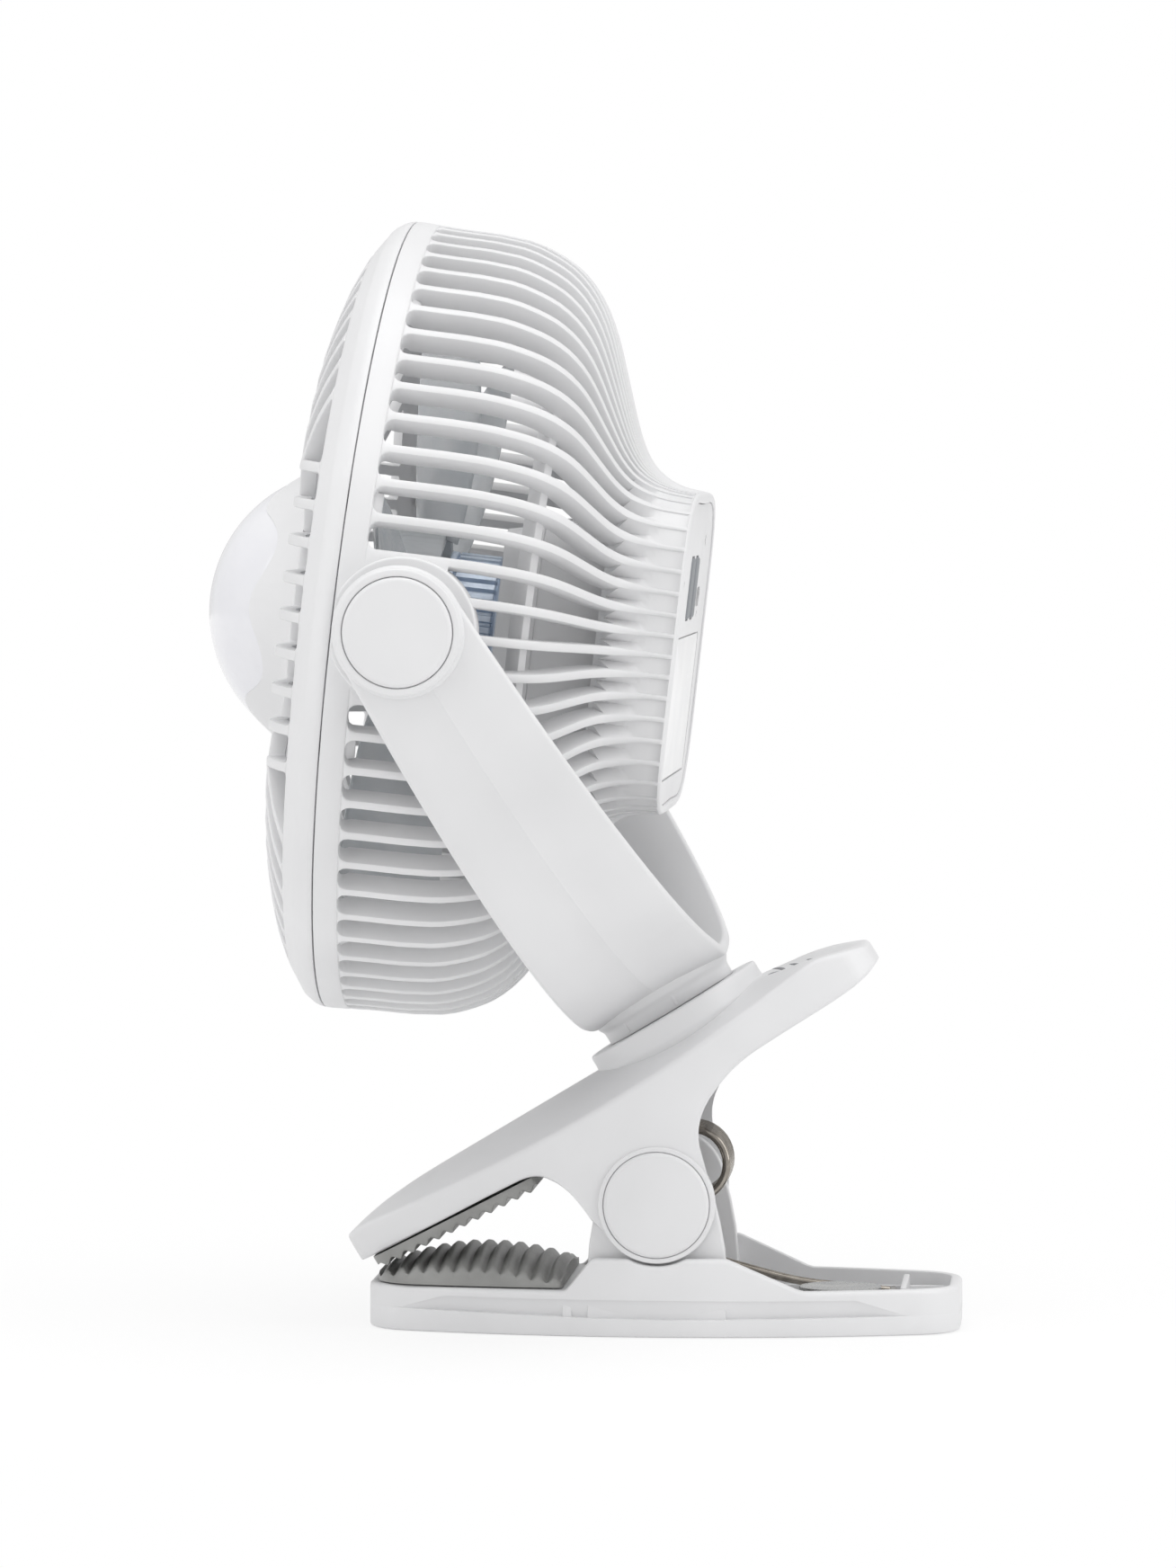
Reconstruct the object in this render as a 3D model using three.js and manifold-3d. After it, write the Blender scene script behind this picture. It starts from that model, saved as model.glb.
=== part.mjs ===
// Clip fan: a small desk fan on a tilting, swivelling yoke, carried by a sprung clip.
// Millimetres, +Z up. The origin is under the middle of the clip's base and the fan faces -Y.
// X runs along the clip pin and the tilt axis, and the object is symmetric about X = 0.
import * as THREE from 'three';
import { mergeVertices } from 'three/addons/utils/BufferGeometryUtils.js';
import Module from 'manifold-3d';

const wasm = await Module();
wasm.setup();

// ---------------------------------------------------------------- driving dimensions
const gap = 0.35;                       // clearance between neighbouring pieces

// clip: lower jaw (base) and its pivot
const baseFront = -69.5;                // ends of the base along Y
const baseRear = 67.6;
const baseHalfWidth = 30.5;             // at the middle of its barrel-shaped plan
const baseSideRadius = 186;             // arc of each long side in plan
const baseCornerRadius = 13;
const baseWallHeight = 10.5;
const baseWall = 2.6;
const baseFloor = 2.2;
const cheekHeight = 18;                 // raised wall beside the ears
const pivotY = -1.5;                    // clip pin
const pivotZ = 30.4;
const pinRadius = 2.5;
const bossRadius = 13.4;                // round foot of each lever leg
const capRadius = 12;                   // round caps over the pin and the tilt screws
const earInner = 22.4;                  // ears of the base, measured from X = 0
const earOuter = 26.0;
const legInner = 26.4;                  // legs of the lever, outside the ears
const legOuter = 29.6;

// clip: upper jaw and thumb lever, in its own frame turned by leverTilt about the pin
const leverTilt = THREE.MathUtils.degToRad(31);
const leverFront = -67.7;
const leverRear = 70.5;
const crownHeight = 32.7;               // ridge of the domed top above the pin
const crownRadius = 66;
const leverSkin = 2.6;
const leverCornerRadius = 9;
const collarRadius = 22;
const collarTop = 35.9;
const collarY = 23.6;                   // swivel axis along the lever

// yoke, centred on the tilt axis
const tiltToCollar = 104.5;             // tilt axis to the top of the collar
const yokeInner = 97;
const yokeOuter = 100;
const armTopHalfWidth = 14.5;
const armBottomHalfWidth = 18.5;
const neckRadius = 16.4;
const spigotRadius = 8;
const yokeBossFace = 102.3;
const washerTop = -tiltToCollar - 8.5;  // swivel washer, under the lever's top skin
const washerThickness = 1.4;

// head, turned by headTilt about the tilt axis; b is the distance behind the rim seam
const headTilt = THREE.MathUtils.degToRad(-6.6);
const seamToTilt = 15.5;
const rimRadius = 91.9;
const rearSlots = 70;
const rearRib = 2.1;                    // thickness of a rib
const rearRibDepth = 5.5;
const frontRib = 2.4;                   // ribs run side by side in six sectors
const frontRibPitch = 8.4;
const podHalfWidth = 52;                // rounded-rectangle rear end of the head
const podHalfHeight = 37.1;
const rearFace = 73.5;
const domeRadius = 33.5;
const domeCentre = -5.5;
const rotorRadius = 80;
const bladeCount = 5;

// ---------------------------------------------------------------- shape helpers
const point = (x, y) => new THREE.Vector2(x, y);

function solidOf(geometry) {
  const bare = new THREE.BufferGeometry();
  bare.setAttribute('position', geometry.getAttribute('position').clone());
  if (geometry.index) bare.setIndex(geometry.index.clone());
  const merged = mergeVertices(bare, 1e-4);
  const corners = merged.index.array;
  const kept = [];
  for (let i = 0; i < corners.length; i += 3) {
    const [a, b, c] = corners.slice(i, i + 3);
    if (a !== b && b !== c && c !== a) kept.push(a, b, c);
  }
  const solid = manifoldOf(merged, kept);
  return solid.volume() < 0 ? manifoldOf(merged, kept.reverse()) : solid;
}

function manifoldOf(merged, corners) {
  const vertProperties = new Float32Array(merged.getAttribute('position').array);
  const mesh = new wasm.Mesh({ numProp: 3, vertProperties, triVerts: new Uint32Array(corners) });
  mesh.merge();
  return new wasm.Manifold(mesh);
}

function geometryOf(solid) {
  const { vertProperties, triVerts } = solid.getMesh();
  const geometry = new THREE.BufferGeometry();
  geometry.setAttribute('position', new THREE.BufferAttribute(new Float32Array(vertProperties), 3));
  geometry.setIndex(new THREE.BufferAttribute(new Uint32Array(triVerts), 1));
  return geometry;
}

const join = (...solids) => solids.reduce((sum, solid) => sum.add(solid));
const cut = (solid, ...tools) => tools.reduce((rest, tool) => rest.subtract(tool), solid);

function extrusion(outline, depth) {
  return new THREE.ExtrudeGeometry(new THREE.Shape(outline), { depth, bevelEnabled: false, curveSegments: 1 });
}

// an outline in (y, z), extruded along X
function sidePrism(outline, x0, x1) {
  const axes = new THREE.Matrix4().makeBasis(
    new THREE.Vector3(0, 1, 0), new THREE.Vector3(0, 0, 1), new THREE.Vector3(1, 0, 0));
  return solidOf(extrusion(outline, x1 - x0).applyMatrix4(axes).translate(x0, 0, 0));
}

// an outline in (x, y), extruded along Z
function planPrism(outline, z0, z1) {
  return solidOf(extrusion(outline, z1 - z0).translate(0, 0, z0));
}

// an outline in (x, z), extruded along Y
function frontPrism(outline, y0, y1) {
  const axes = new THREE.Matrix4().makeBasis(
    new THREE.Vector3(1, 0, 0), new THREE.Vector3(0, 0, 1), new THREE.Vector3(0, -1, 0));
  return solidOf(extrusion(outline, y1 - y0).applyMatrix4(axes).translate(0, y1, 0));
}

function box(x0, x1, y0, y1, z0, z1) {
  const geometry = new THREE.BoxGeometry(x1 - x0, y1 - y0, z1 - z0);
  return solidOf(geometry.translate((x0 + x1) / 2, (y0 + y1) / 2, (z0 + z1) / 2));
}

function cylinderX(radius, x0, x1, segments = 32, y = 0, z = 0) {
  const geometry = new THREE.CylinderGeometry(radius, radius, x1 - x0, segments);
  return solidOf(geometry.rotateZ(Math.PI / 2).translate((x0 + x1) / 2, y, z));
}

function cylinderZ(radius, z0, z1, segments = 32, x = 0, y = 0) {
  const geometry = new THREE.CylinderGeometry(radius, radius, z1 - z0, segments);
  return solidOf(geometry.rotateX(Math.PI / 2).translate(x, y, (z0 + z1) / 2));
}

function cylinderY(radius, y0, y1, segments = 32, x = 0, z = 0) {
  const geometry = new THREE.CylinderGeometry(radius, radius, y1 - y0, segments);
  return solidOf(geometry.translate(x, (y0 + y1) / 2, z));
}

// profile points (radius, distance along the axis); the profile starts and ends on the axis or closes
const latheY = (profile, segments = 32) => new THREE.LatheGeometry(profile, segments);
const latheX = (profile, segments = 32) => latheY(profile, segments).rotateZ(-Math.PI / 2);
const latheZ = (profile, segments = 32) => latheY(profile, segments).rotateX(Math.PI / 2);

function arc(cx, cy, radius, from, to, steps) {
  const points = [];
  for (let i = 0; i <= steps; i += 1) {
    const angle = THREE.MathUtils.degToRad(from + ((to - from) * i) / steps);
    points.push(point(cx + radius * Math.cos(angle), cy + radius * Math.sin(angle)));
  }
  return points;
}

// a long plan with bowed sides and round corners, moved inwards by inset
function barrelOutline(front, rear, halfWidth, inset, cornerRadius, sideSteps = 6) {
  const sideRadius = baseSideRadius - inset;
  const corner = Math.max(cornerRadius - inset, 1.5);
  const middle = (front + rear) / 2;
  const half = (rear - front) / 2 - inset;
  const sideX = halfWidth - baseSideRadius;
  const reach = half - corner;
  const cornerX = sideX + Math.sqrt((sideRadius - corner) ** 2 - reach ** 2);
  const bow = THREE.MathUtils.radToDeg(Math.asin(reach / (sideRadius - corner)));
  const right = [
    ...arc(cornerX, middle - reach, corner, -90, -bow, 4),
    ...arc(sideX, middle, sideRadius, -bow, bow, sideSteps).slice(1, -1),
    ...arc(cornerX, middle + reach, corner, bow, 90, 4),
  ];
  const left = right.map((p) => point(-p.x, p.y)).reverse();
  return [...right, ...left];
}

function roundedRectangle(halfWidth, halfHeight, corner, cx = 0, cy = 0, steps = 3) {
  const x = halfWidth - corner;
  const y = halfHeight - corner;
  return [
    ...arc(cx + x, cy - y, corner, -90, 0, steps),
    ...arc(cx + x, cy + y, corner, 0, 90, steps),
    ...arc(cx - x, cy + y, corner, 90, 180, steps),
    ...arc(cx - x, cy - y, corner, 180, 270, steps),
  ];
}

// straight-line lookup in a list of (input, output) points
function lookup(table, value) {
  const last = table.length - 1;
  let i = 0;
  while (i < last - 1 && value > table[i + 1][0]) i += 1;
  const [x0, y0] = table[i];
  const [x1, y1] = table[i + 1];
  return y0 + ((y1 - y0) * (value - x0)) / (x1 - x0);
}

// A round shell of two skins on a grid of rows and columns. Cells that are open leave slots, and
// every edge between a closed cell and an open one, or the end of the grid, gets a wall.
function slottedShell({ rows, columns, outer, inner, isOpen, lastIsPole }) {
  const positions = [];
  const triangles = [];
  for (let i = 0; i < rows; i += 1) {
    for (let j = 0; j < columns; j += 1) positions.push(outer(i, j), inner(i, j));
  }
  const skin = (i, j, side) => 2 * (i * columns + ((j + columns) % columns)) + side;
  const quad = (a, b, c, d) => triangles.push(a, b, c, a, c, d);
  const closed = (i, j) => i >= 0 && i < rows - 1 && !isOpen(i, (j + columns) % columns);
  for (let i = 0; i < rows - 1; i += 1) {
    for (let j = 0; j < columns; j += 1) {
      if (!closed(i, j)) continue;
      quad(skin(i, j, 0), skin(i, j + 1, 0), skin(i + 1, j + 1, 0), skin(i + 1, j, 0));
      quad(skin(i, j, 1), skin(i + 1, j, 1), skin(i + 1, j + 1, 1), skin(i, j + 1, 1));
      if (!closed(i - 1, j)) quad(skin(i, j, 0), skin(i, j, 1), skin(i, j + 1, 1), skin(i, j + 1, 0));
      if (!closed(i + 1, j) && !(lastIsPole && i === rows - 2)) {
        quad(skin(i + 1, j, 0), skin(i + 1, j + 1, 0), skin(i + 1, j + 1, 1), skin(i + 1, j, 1));
      }
      if (!closed(i, j - 1)) quad(skin(i, j, 0), skin(i + 1, j, 0), skin(i + 1, j, 1), skin(i, j, 1));
      if (!closed(i, j + 1)) {
        quad(skin(i, j + 1, 0), skin(i, j + 1, 1), skin(i + 1, j + 1, 1), skin(i + 1, j + 1, 0));
      }
    }
  }
  const geometry = new THREE.BufferGeometry();
  geometry.setAttribute('position', new THREE.Float32BufferAttribute(positions.flat(), 3));
  geometry.setIndex(triangles);
  return solidOf(geometry);
}

// A thick plate of faces over shared corners. Each corner has a point on either skin, and every edge
// that belongs to one face only gets a wall between the skins.
function thickPlate(outer, inner, faces) {
  const triangles = [];
  const edges = new Map();
  const fan = (loop) => {
    for (let k = 1; k < loop.length - 1; k += 1) triangles.push(loop[0], loop[k], loop[k + 1]);
  };
  faces.forEach((face) => {
    fan(face);
    fan(face.map((corner) => corner + outer.length).reverse());
    face.forEach((a, k) => {
      const b = face[(k + 1) % face.length];
      if (!edges.delete(`${b} ${a}`)) edges.set(`${a} ${b}`, [a, b]);
    });
  });
  edges.forEach(([a, b]) => fan([b, a, a + outer.length, b + outer.length]));
  const geometry = new THREE.BufferGeometry();
  geometry.setAttribute('position', new THREE.Float32BufferAttribute([...outer, ...inner].flat(), 3));
  geometry.setIndex(triangles);
  return solidOf(geometry);
}

// ---------------------------------------------------------------- materials
const finish = (color, roughness, metalness) => new THREE.MeshStandardMaterial({ color, roughness, metalness });
const whiteShell = () => finish('#e6e6e8', 0.55, 0);
const glossWhite = () => finish('#f0f0f2', 0.15, 0);
const greyRubber = () => finish('#8e8f8f', 0.85, 0);
const steel = () => finish('#c9c9c6', 0.3, 1);
const darkPlastic = () => finish('#6d7074', 0.5, 0);

function piece(parent, name, shape, material) {
  const geometry = shape.isBufferGeometry ? shape : geometryOf(shape);
  const mesh = new THREE.Mesh(geometry, material);
  mesh.name = name;
  parent.add(mesh);
  return mesh;
}

// ---------------------------------------------------------------- clip base
const basePlan = (inset) => barrelOutline(baseFront, baseRear, baseHalfWidth, inset, baseCornerRadius);

function baseShell() {
  const archRadius = bossRadius + 0.6;
  const archEnd = THREE.MathUtils.radToDeg(Math.asin((pivotZ - cheekHeight) / archRadius));
  const profile = [
    point(baseFront - 1, 0), point(baseRear + 1, 0), point(baseRear + 1, baseWallHeight),
    point(31.8, baseWallHeight), point(14.6, cheekHeight),
    ...arc(pivotY, pivotZ, archRadius, -archEnd, archEnd - 180, 8),
    point(-16.4, cheekHeight), point(-22.4, baseWallHeight), point(baseFront - 1, baseWallHeight),
  ];
  const tray = planPrism(basePlan(0), 0, cheekHeight + 4).intersect(sidePrism(profile, -40, 40));
  const hollow = planPrism(basePlan(baseWall), baseFloor, cheekHeight + 6);
  const deck = box(-40, 40, baseFront, -21, baseWallHeight - 2.2, baseWallHeight);
  const rearBulkhead = box(-40, 40, -22.8, -21, 0, baseWallHeight);
  const inside = planPrism(basePlan(baseWall / 2), 0, cheekHeight);
  const window = box(-14, 14, -24, -20, baseFloor, baseWallHeight - 3.4);
  const front = cut(join(deck, rearBulkhead).intersect(inside), window);
  return join(cut(tray, hollow), front, trayRibs(), baseEar(1), baseEar(-1));
}

// ribs that stiffen the open rear tray and hold the spring seat
function trayRibs() {
  const length = (x) => box(x - 0.7, x + 0.7, -22, baseRear - 4, baseFloor - 0.5, 7.6);
  const cross = (y, top) => box(-14, 14, y - 0.7, y + 0.7, baseFloor - 0.5, top);
  return join(length(-14), length(14), cross(54.5, 10.2), cross(39, 6.6), cross(24, 7.2));
}

function baseEar(side) {
  const outline = [
    point(-17.9, 3), point(-17.6, 17.6), point(-16.7, 26.4),
    ...arc(pivotY, pivotZ, 12.8, 150, 18, 10),
    point(13.1, 27), point(14.5, 17.8), point(14.9, 3),
  ];
  const foot = [point(-17.4, 3), point(-17.2, 15.4), point(14.2, 15.4), point(14.4, 3)];
  const plate = sidePrism(outline, earInner, earOuter);
  const web = sidePrism(foot, earOuter - 1, baseHalfWidth - 1.4);
  const clearance = cylinderX(bossRadius + 0.6, earOuter, baseHalfWidth + 1, 30, pivotY, pivotZ);
  const bore = cylinderX(pinRadius + 0.3, earInner - 1, baseHalfWidth + 1, 20, pivotY, pivotZ);
  const ear = cut(join(plate, web), clearance, bore);
  return side > 0 ? ear : ear.mirror([1, 0, 0]);
}

// shallow tapering scoop along each side of the base
function sideScoop(side) {
  const band = [point(-62, 5.3), point(0, 4), point(55.5, 4.5), point(44, 8.3), point(-51, 8.5)];
  const ring = cut(planPrism(basePlan(-1), 3, 12), planPrism(basePlan(1.3), 2, 13));
  const scoop = ring.intersect(sidePrism(band, 5, 40));
  return side > 0 ? scoop : scoop.mirror([1, 0, 0]);
}

// ridged rubber: the top follows a low arch and carries rounded ridges across X
function lowerPad() {
  const front = -66;
  const rear = -25.2;
  const pitch = 3.6;
  const top = [];
  for (let i = 0; i <= 46; i += 1) {
    const y = rear + ((front - rear) * i) / 46;
    const arch = 16.7 - 0.0085 * (y + 44) ** 2;
    top.push(point(y, arch + 0.6 * Math.cos((2 * Math.PI * (y - rear)) / pitch)));
  }
  const outline = [point(front - 0.4, baseWallHeight + gap), point(rear + 2.2, baseWallHeight + gap), ...top];
  const plan = barrelOutline(baseFront + 1.5, 40, baseHalfWidth - 3, 0.6, baseCornerRadius);
  return sidePrism(outline, -32, 32).intersect(planPrism(plan, 5, 25));
}

// low round button between the tray's ribs, beside the spring's lower leg
const seatCentre = [2.2, 39.5];

function springSeat() {
  return cylinderZ(9.6, 6.6 + gap, 9.2, 26, ...seatCentre);
}

// Torsion spring. The wire drops from the front of the coil, bends back along the tray and ends in a
// crossbar; its other end runs up inside the lever. The coil lies above and behind the pivot.
const wireRadius = 1;
const legFoot = point(51.5, 7);

function springPath() {
  const centre = point(pivotY + 6.8, pivotZ + 7.4);
  const meanRadius = 8.1;
  const pitch = 3;
  const upperLeg = 27.4;
  const upperAngle = leverTilt + THREE.MathUtils.degToRad(22) + Math.PI / 2;
  const sweep = Math.PI - upperAngle + 2 * Math.PI * 6;
  const width = (pitch * sweep) / (2 * Math.PI);
  const coil = (t) => {
    const angle = Math.PI - sweep * t;
    return new THREE.Vector3(
      width * (t - 0.5), centre.x + meanRadius * Math.cos(angle), centre.y + meanRadius * Math.sin(angle));
  };
  const steps = Math.round((8 * sweep) / (2 * Math.PI));
  const last = coil(1);
  const along = new THREE.Vector3(0, Math.sin(upperAngle), -Math.cos(upperAngle));
  const drop = centre.x - meanRadius;
  const lower = [
    [legFoot.x, legFoot.y], [44, 7.4], [29, 8.8], [drop + 2.6, 16.7], [drop + 0.6, 18], [drop, 20.4], [drop, 29],
  ];
  const points = lower.map(([y, z]) => new THREE.Vector3(-width / 2, y, z));
  for (let i = 0; i <= steps; i += 1) points.push(coil(i / steps));
  points.push(last.clone().addScaledVector(along, 2.2), last.clone().addScaledVector(along, upperLeg / 2));
  points.push(last.clone().addScaledVector(along, upperLeg));
  return points;
}

function tubeAlong(points, radius, sides) {
  const positions = [];
  const triangles = [];
  const sideways = new THREE.Vector3(1, 0, 0);
  points.forEach((centre, i) => {
    const before = points[Math.max(i - 1, 0)];
    const after = points[Math.min(i + 1, points.length - 1)];
    const forward = after.clone().sub(before).normalize();
    const up = forward.clone().cross(sideways).normalize();
    const across = up.clone().cross(forward).normalize();
    for (let s = 0; s < sides; s += 1) {
      const angle = (2 * Math.PI * s) / sides;
      const ring = centre.clone();
      ring.addScaledVector(up, radius * Math.cos(angle)).addScaledVector(across, radius * Math.sin(angle));
      positions.push(ring.x, ring.y, ring.z);
    }
  });
  const at = (i, s) => i * sides + (s % sides);
  for (let i = 0; i < points.length - 1; i += 1) {
    for (let s = 0; s < sides; s += 1) {
      triangles.push(at(i, s), at(i, s + 1), at(i + 1, s + 1), at(i, s), at(i + 1, s + 1), at(i + 1, s));
    }
  }
  for (let s = 1; s < sides - 1; s += 1) {
    triangles.push(at(0, 0), at(0, s + 1), at(0, s));
    const end = points.length - 1;
    triangles.push(at(end, 0), at(end, s), at(end, s + 1));
  }
  const geometry = new THREE.BufferGeometry();
  geometry.setAttribute('position', new THREE.Float32BufferAttribute(positions, 3));
  geometry.setIndex(triangles);
  return solidOf(geometry);
}

// least clear distance between stretches of the wire more than three steps apart
function leastGap(points, radius) {
  const fine = [];
  for (let i = 0; i < points.length - 1; i += 1) {
    for (let k = 0; k < 6; k += 1) fine.push(points[i].clone().lerp(points[i + 1], k / 6));
  }
  let least = Infinity;
  for (let i = 0; i < fine.length; i += 1) {
    for (let j = i + 24; j < fine.length; j += 1) least = Math.min(least, fine[i].distanceTo(fine[j]));
  }
  return least - 2 * radius;
}

function jawSpring() {
  const path = springPath();
  console.log(`spring wire: least gap to itself ${leastGap(path, wireRadius).toFixed(2)} mm`);
  const crossbar = cylinderX(wireRadius, path[0].x - 0.7, 3, 8, legFoot.x, legFoot.y);
  return join(tubeAlong(path, wireRadius, 5), crossbar);
}

// stub of the pivot through one ear and one leg
function clipPin(side) {
  const pin = cylinderX(pinRadius, earInner - 1.4, legOuter - 2, 16, pivotY, pivotZ);
  return side > 0 ? pin : pin.mirror([1, 0, 0]);
}

function roundCap(face, side) {
  const depth = 2.4;
  const profile = [
    point(0, face - depth), point(capRadius - 0.1, face - depth), point(capRadius, face - 0.5),
    point(capRadius - 0.5, face), point(0, face + 0.25),
  ];
  const cap = solidOf(latheX(profile, 30));
  return side > 0 ? cap : cap.mirror([1, 0, 0]);
}

// ---------------------------------------------------------------- lever (in its own turned frame)
function leverProfile() {
  return [
    point(leverFront - 2, 23), point(-21, 20.2), point(-19.2, 19), point(-15.7, 12.8), point(-14.9, 4.8),
    ...arc(0, 0, bossRadius, 175, 360, 12),
    point(15, 4.7), point(16.7, 9.2), point(22, 14.1), point(27, 16.4), point(35.9, 18.7),
    point(58, 19), point(leverRear - 1, 20.2), point(leverRear + 2, 22),
    point(leverRear + 2, 25.3), point(leverRear - 6.5, 28.1), point(55, 30.5), point(44, crownHeight),
    point(-48, crownHeight), point(-58, 31.6), point(leverFront - 2, 29),
  ];
}

// cross-section of the crown: upright sides under one shallow arc
function crownSection(inset) {
  const half = 40;
  const top = [];
  for (let i = 0; i <= 10; i += 1) {
    const x = half - (2 * half * i) / 10;
    top.push(point(x, crownHeight - inset - crownRadius + Math.sqrt(crownRadius ** 2 - x ** 2)));
  }
  return [point(-half, -30), point(half, -30), ...top];
}

const leverPlan = (inset) => barrelOutline(leverFront, leverRear, legOuter, inset, leverCornerRadius);

function clipLever() {
  const outer = planPrism(leverPlan(0), -20, 40)
    .intersect(sidePrism(leverProfile(), -40, 40))
    .intersect(frontPrism(crownSection(0), leverFront - 3, leverRear + 3));
  const bowedHollow = planPrism(leverPlan(legOuter - legInner), -20, 27.8);
  const earRoom = box(-legInner, legInner, -26, 26, -20, 27.8);
  const tailSkin = box(-40, 40, 47, leverRear, 25.4, 40);
  const hollow = cut(join(bowedHollow, earRoom), tailSkin)
    .intersect(frontPrism(crownSection(leverSkin), leverFront, leverRear));
  const collar = cylinderZ(collarRadius, 24, collarTop, 40, 0, collarY);
  const belowCollar = cylinderZ(collarRadius + 2, 20, crownHeight - leverSkin, 20, 0, collarY);
  const spigotHole = cylinderZ(spigotRadius + 0.4, 15, collarTop + 1, 24, 0, collarY);
  const boss = (side) => {
    const ring = cylinderX(bossRadius, legInner, legOuter + 0.6, 30);
    return side > 0 ? ring : ring.mirror([1, 0, 0]);
  };
  const capSeat = (side) => {
    const seat = cylinderX(capRadius + 0.3, legOuter - 1.6, legOuter + 3, 30);
    return side > 0 ? seat : seat.mirror([1, 0, 0]);
  };
  const pinBore = cylinderX(pinRadius + 0.3, -40, 40, 16);
  const body = cut(join(outer, cut(collar, belowCollar), boss(1), boss(-1)), hollow);
  const ribs = join(leverRib(-20.4, 20.6), leverRib(38.6, 19.2), leverRib(56, 19.6));
  return cut(join(body, ribs), spigotHole, capSeat(1), capSeat(-1), pinBore, thumbDish());
}

// cross rib inside the hollow lever
function leverRib(y, bottom) {
  const inside = planPrism(leverPlan(1), -20, 40)
    .intersect(frontPrism(crownSection(1), leverFront, leverRear));
  return box(-40, 40, y - 0.8, y + 0.8, bottom, 28.5).intersect(inside);
}

// dished thumb rest: a shallow bowl sunk in the top
function thumbDish() {
  const bowlRadius = 34;
  const bowlDepth = 1.4;
  const surface = 29.5;
  const centre = surface - bowlDepth + bowlRadius;
  const profile = [point(0, surface - bowlDepth)];
  for (let i = 1; i <= 4; i += 1) {
    const angle = THREE.MathUtils.degToRad(9 * i);
    profile.push(point(bowlRadius * Math.sin(angle), centre - bowlRadius * Math.cos(angle)));
  }
  profile.push(point(0, centre - bowlRadius * Math.cos(THREE.MathUtils.degToRad(36))));
  return solidOf(latheY(profile, 20).rotateX(Math.PI / 2)).translate([0, 58, 0]);
}

function upperPad() {
  const front = -63.5;
  const rear = -22.4;
  const pitch = 3.45;
  const jaw = (y) => 20.2 + ((y + 21) * (23 - 20.2)) / (leverFront - 2 + 21);
  const teeth = [];
  for (let i = 0; i <= 48; i += 1) {
    const y = front + ((rear - front) * i) / 48;
    teeth.push(point(y, jaw(y) - 2.9 + 0.5 * Math.cos((2 * Math.PI * (y - front)) / pitch)));
  }
  const outline = [...teeth, point(rear + 1.2, jaw(rear) - gap), point(front - 0.6, jaw(front) - gap)];
  const plan = barrelOutline(leverFront + 1.2, 40, legOuter - 3, 0.5, leverCornerRadius);
  return sidePrism(outline, -32, 32).intersect(planPrism(plan, 10, 30));
}

// ---------------------------------------------------------------- swivel and yoke (frame at the tilt axis)
function yokeBody() {
  const ringOuter = arc(0, 0, yokeOuter, 0, 360, 56).slice(0, -1);
  const ring = cut(
    frontPrism(ringOuter, -30, 30),
    frontPrism(arc(0, 0, yokeInner, 0, 360, 56).slice(0, -1), -31, 31));
  const corner = 5;
  const outline = [
    ...arc(0, 0, armTopHalfWidth, 0, 180, 12),
    point(-armBottomHalfWidth, -yokeOuter + corner - 1),
    ...arc(-armBottomHalfWidth + corner, -yokeOuter + corner - 1, corner, 180, 270, 4),
    ...arc(armBottomHalfWidth - corner, -yokeOuter + corner - 1, corner, -90, 0, 4),
  ];
  const band = ring.intersect(sidePrism(outline, -120, 120));
  const neck = cylinderZ(neckRadius, -tiltToCollar + 0.4, -yokeInner - 0.6, 32);
  const spigot = cylinderZ(spigotRadius, washerTop - washerThickness, -yokeInner - 1, 24);
  const screwHole = cylinderZ(1.9, -tiltToCollar - 12, -yokeInner - 1.6, 16);
  return cut(join(band, neck, spigot, yokeBoss(1), yokeBoss(-1)), screwHole, yokeBore(1), yokeBore(-1));
}

function yokeBoss(side) {
  const boss = cylinderX(bossRadius + 0.6, yokeInner + 1, yokeBossFace, 30);
  return side > 0 ? boss : boss.mirror([1, 0, 0]);
}

function yokeBore(side) {
  const seat = cylinderX(capRadius + 0.3, yokeBossFace - 2.1, yokeBossFace + 2, 30);
  const head = cylinderX(5.4, yokeBossFace - 3.9, yokeBossFace, 20);
  const bore = cylinderX(3, yokeInner - 8, yokeBossFace, 14);
  const tool = join(seat, head, bore);
  return side > 0 ? tool : tool.mirror([1, 0, 0]);
}

function tiltScrew(side) {
  const head = yokeBossFace - 3.6;
  const profile = [
    point(0, 84), point(2.6, 84), point(2.6, head), point(5, head), point(5, head + 1.1), point(0, head + 1.2),
  ];
  const screw = solidOf(latheX(profile, 20));
  return side > 0 ? screw : screw.mirror([1, 0, 0]);
}

function tiltWasher(side) {
  const profile = [point(3.2, 95.55), point(8.4, 95.55), point(8.4, 96.2), point(3.2, 96.2), point(3.2, 95.55)];
  const washer = solidOf(latheX(profile, 24));
  return side > 0 ? washer : washer.mirror([1, 0, 0]);
}

function swivelWasher() {
  const bottom = washerTop - washerThickness;
  const bore = spigotRadius + 0.4;
  const profile = [
    point(bore, bottom), point(11.5, bottom), point(11.5, washerTop), point(bore, washerTop), point(bore, bottom),
  ];
  return solidOf(latheZ(profile, 20));
}

function swivelScrew() {
  const head = washerTop - washerThickness - gap;
  const profile = [
    point(0, head - 2.6), point(4.6, head - 2.6), point(5.2, head - 1.4), point(10.4, head - 1.4),
    point(10.4, head), point(1.6, head), point(1.6, head + 11), point(0, head + 11),
  ];
  return solidOf(latheZ(profile, 16));
}

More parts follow.
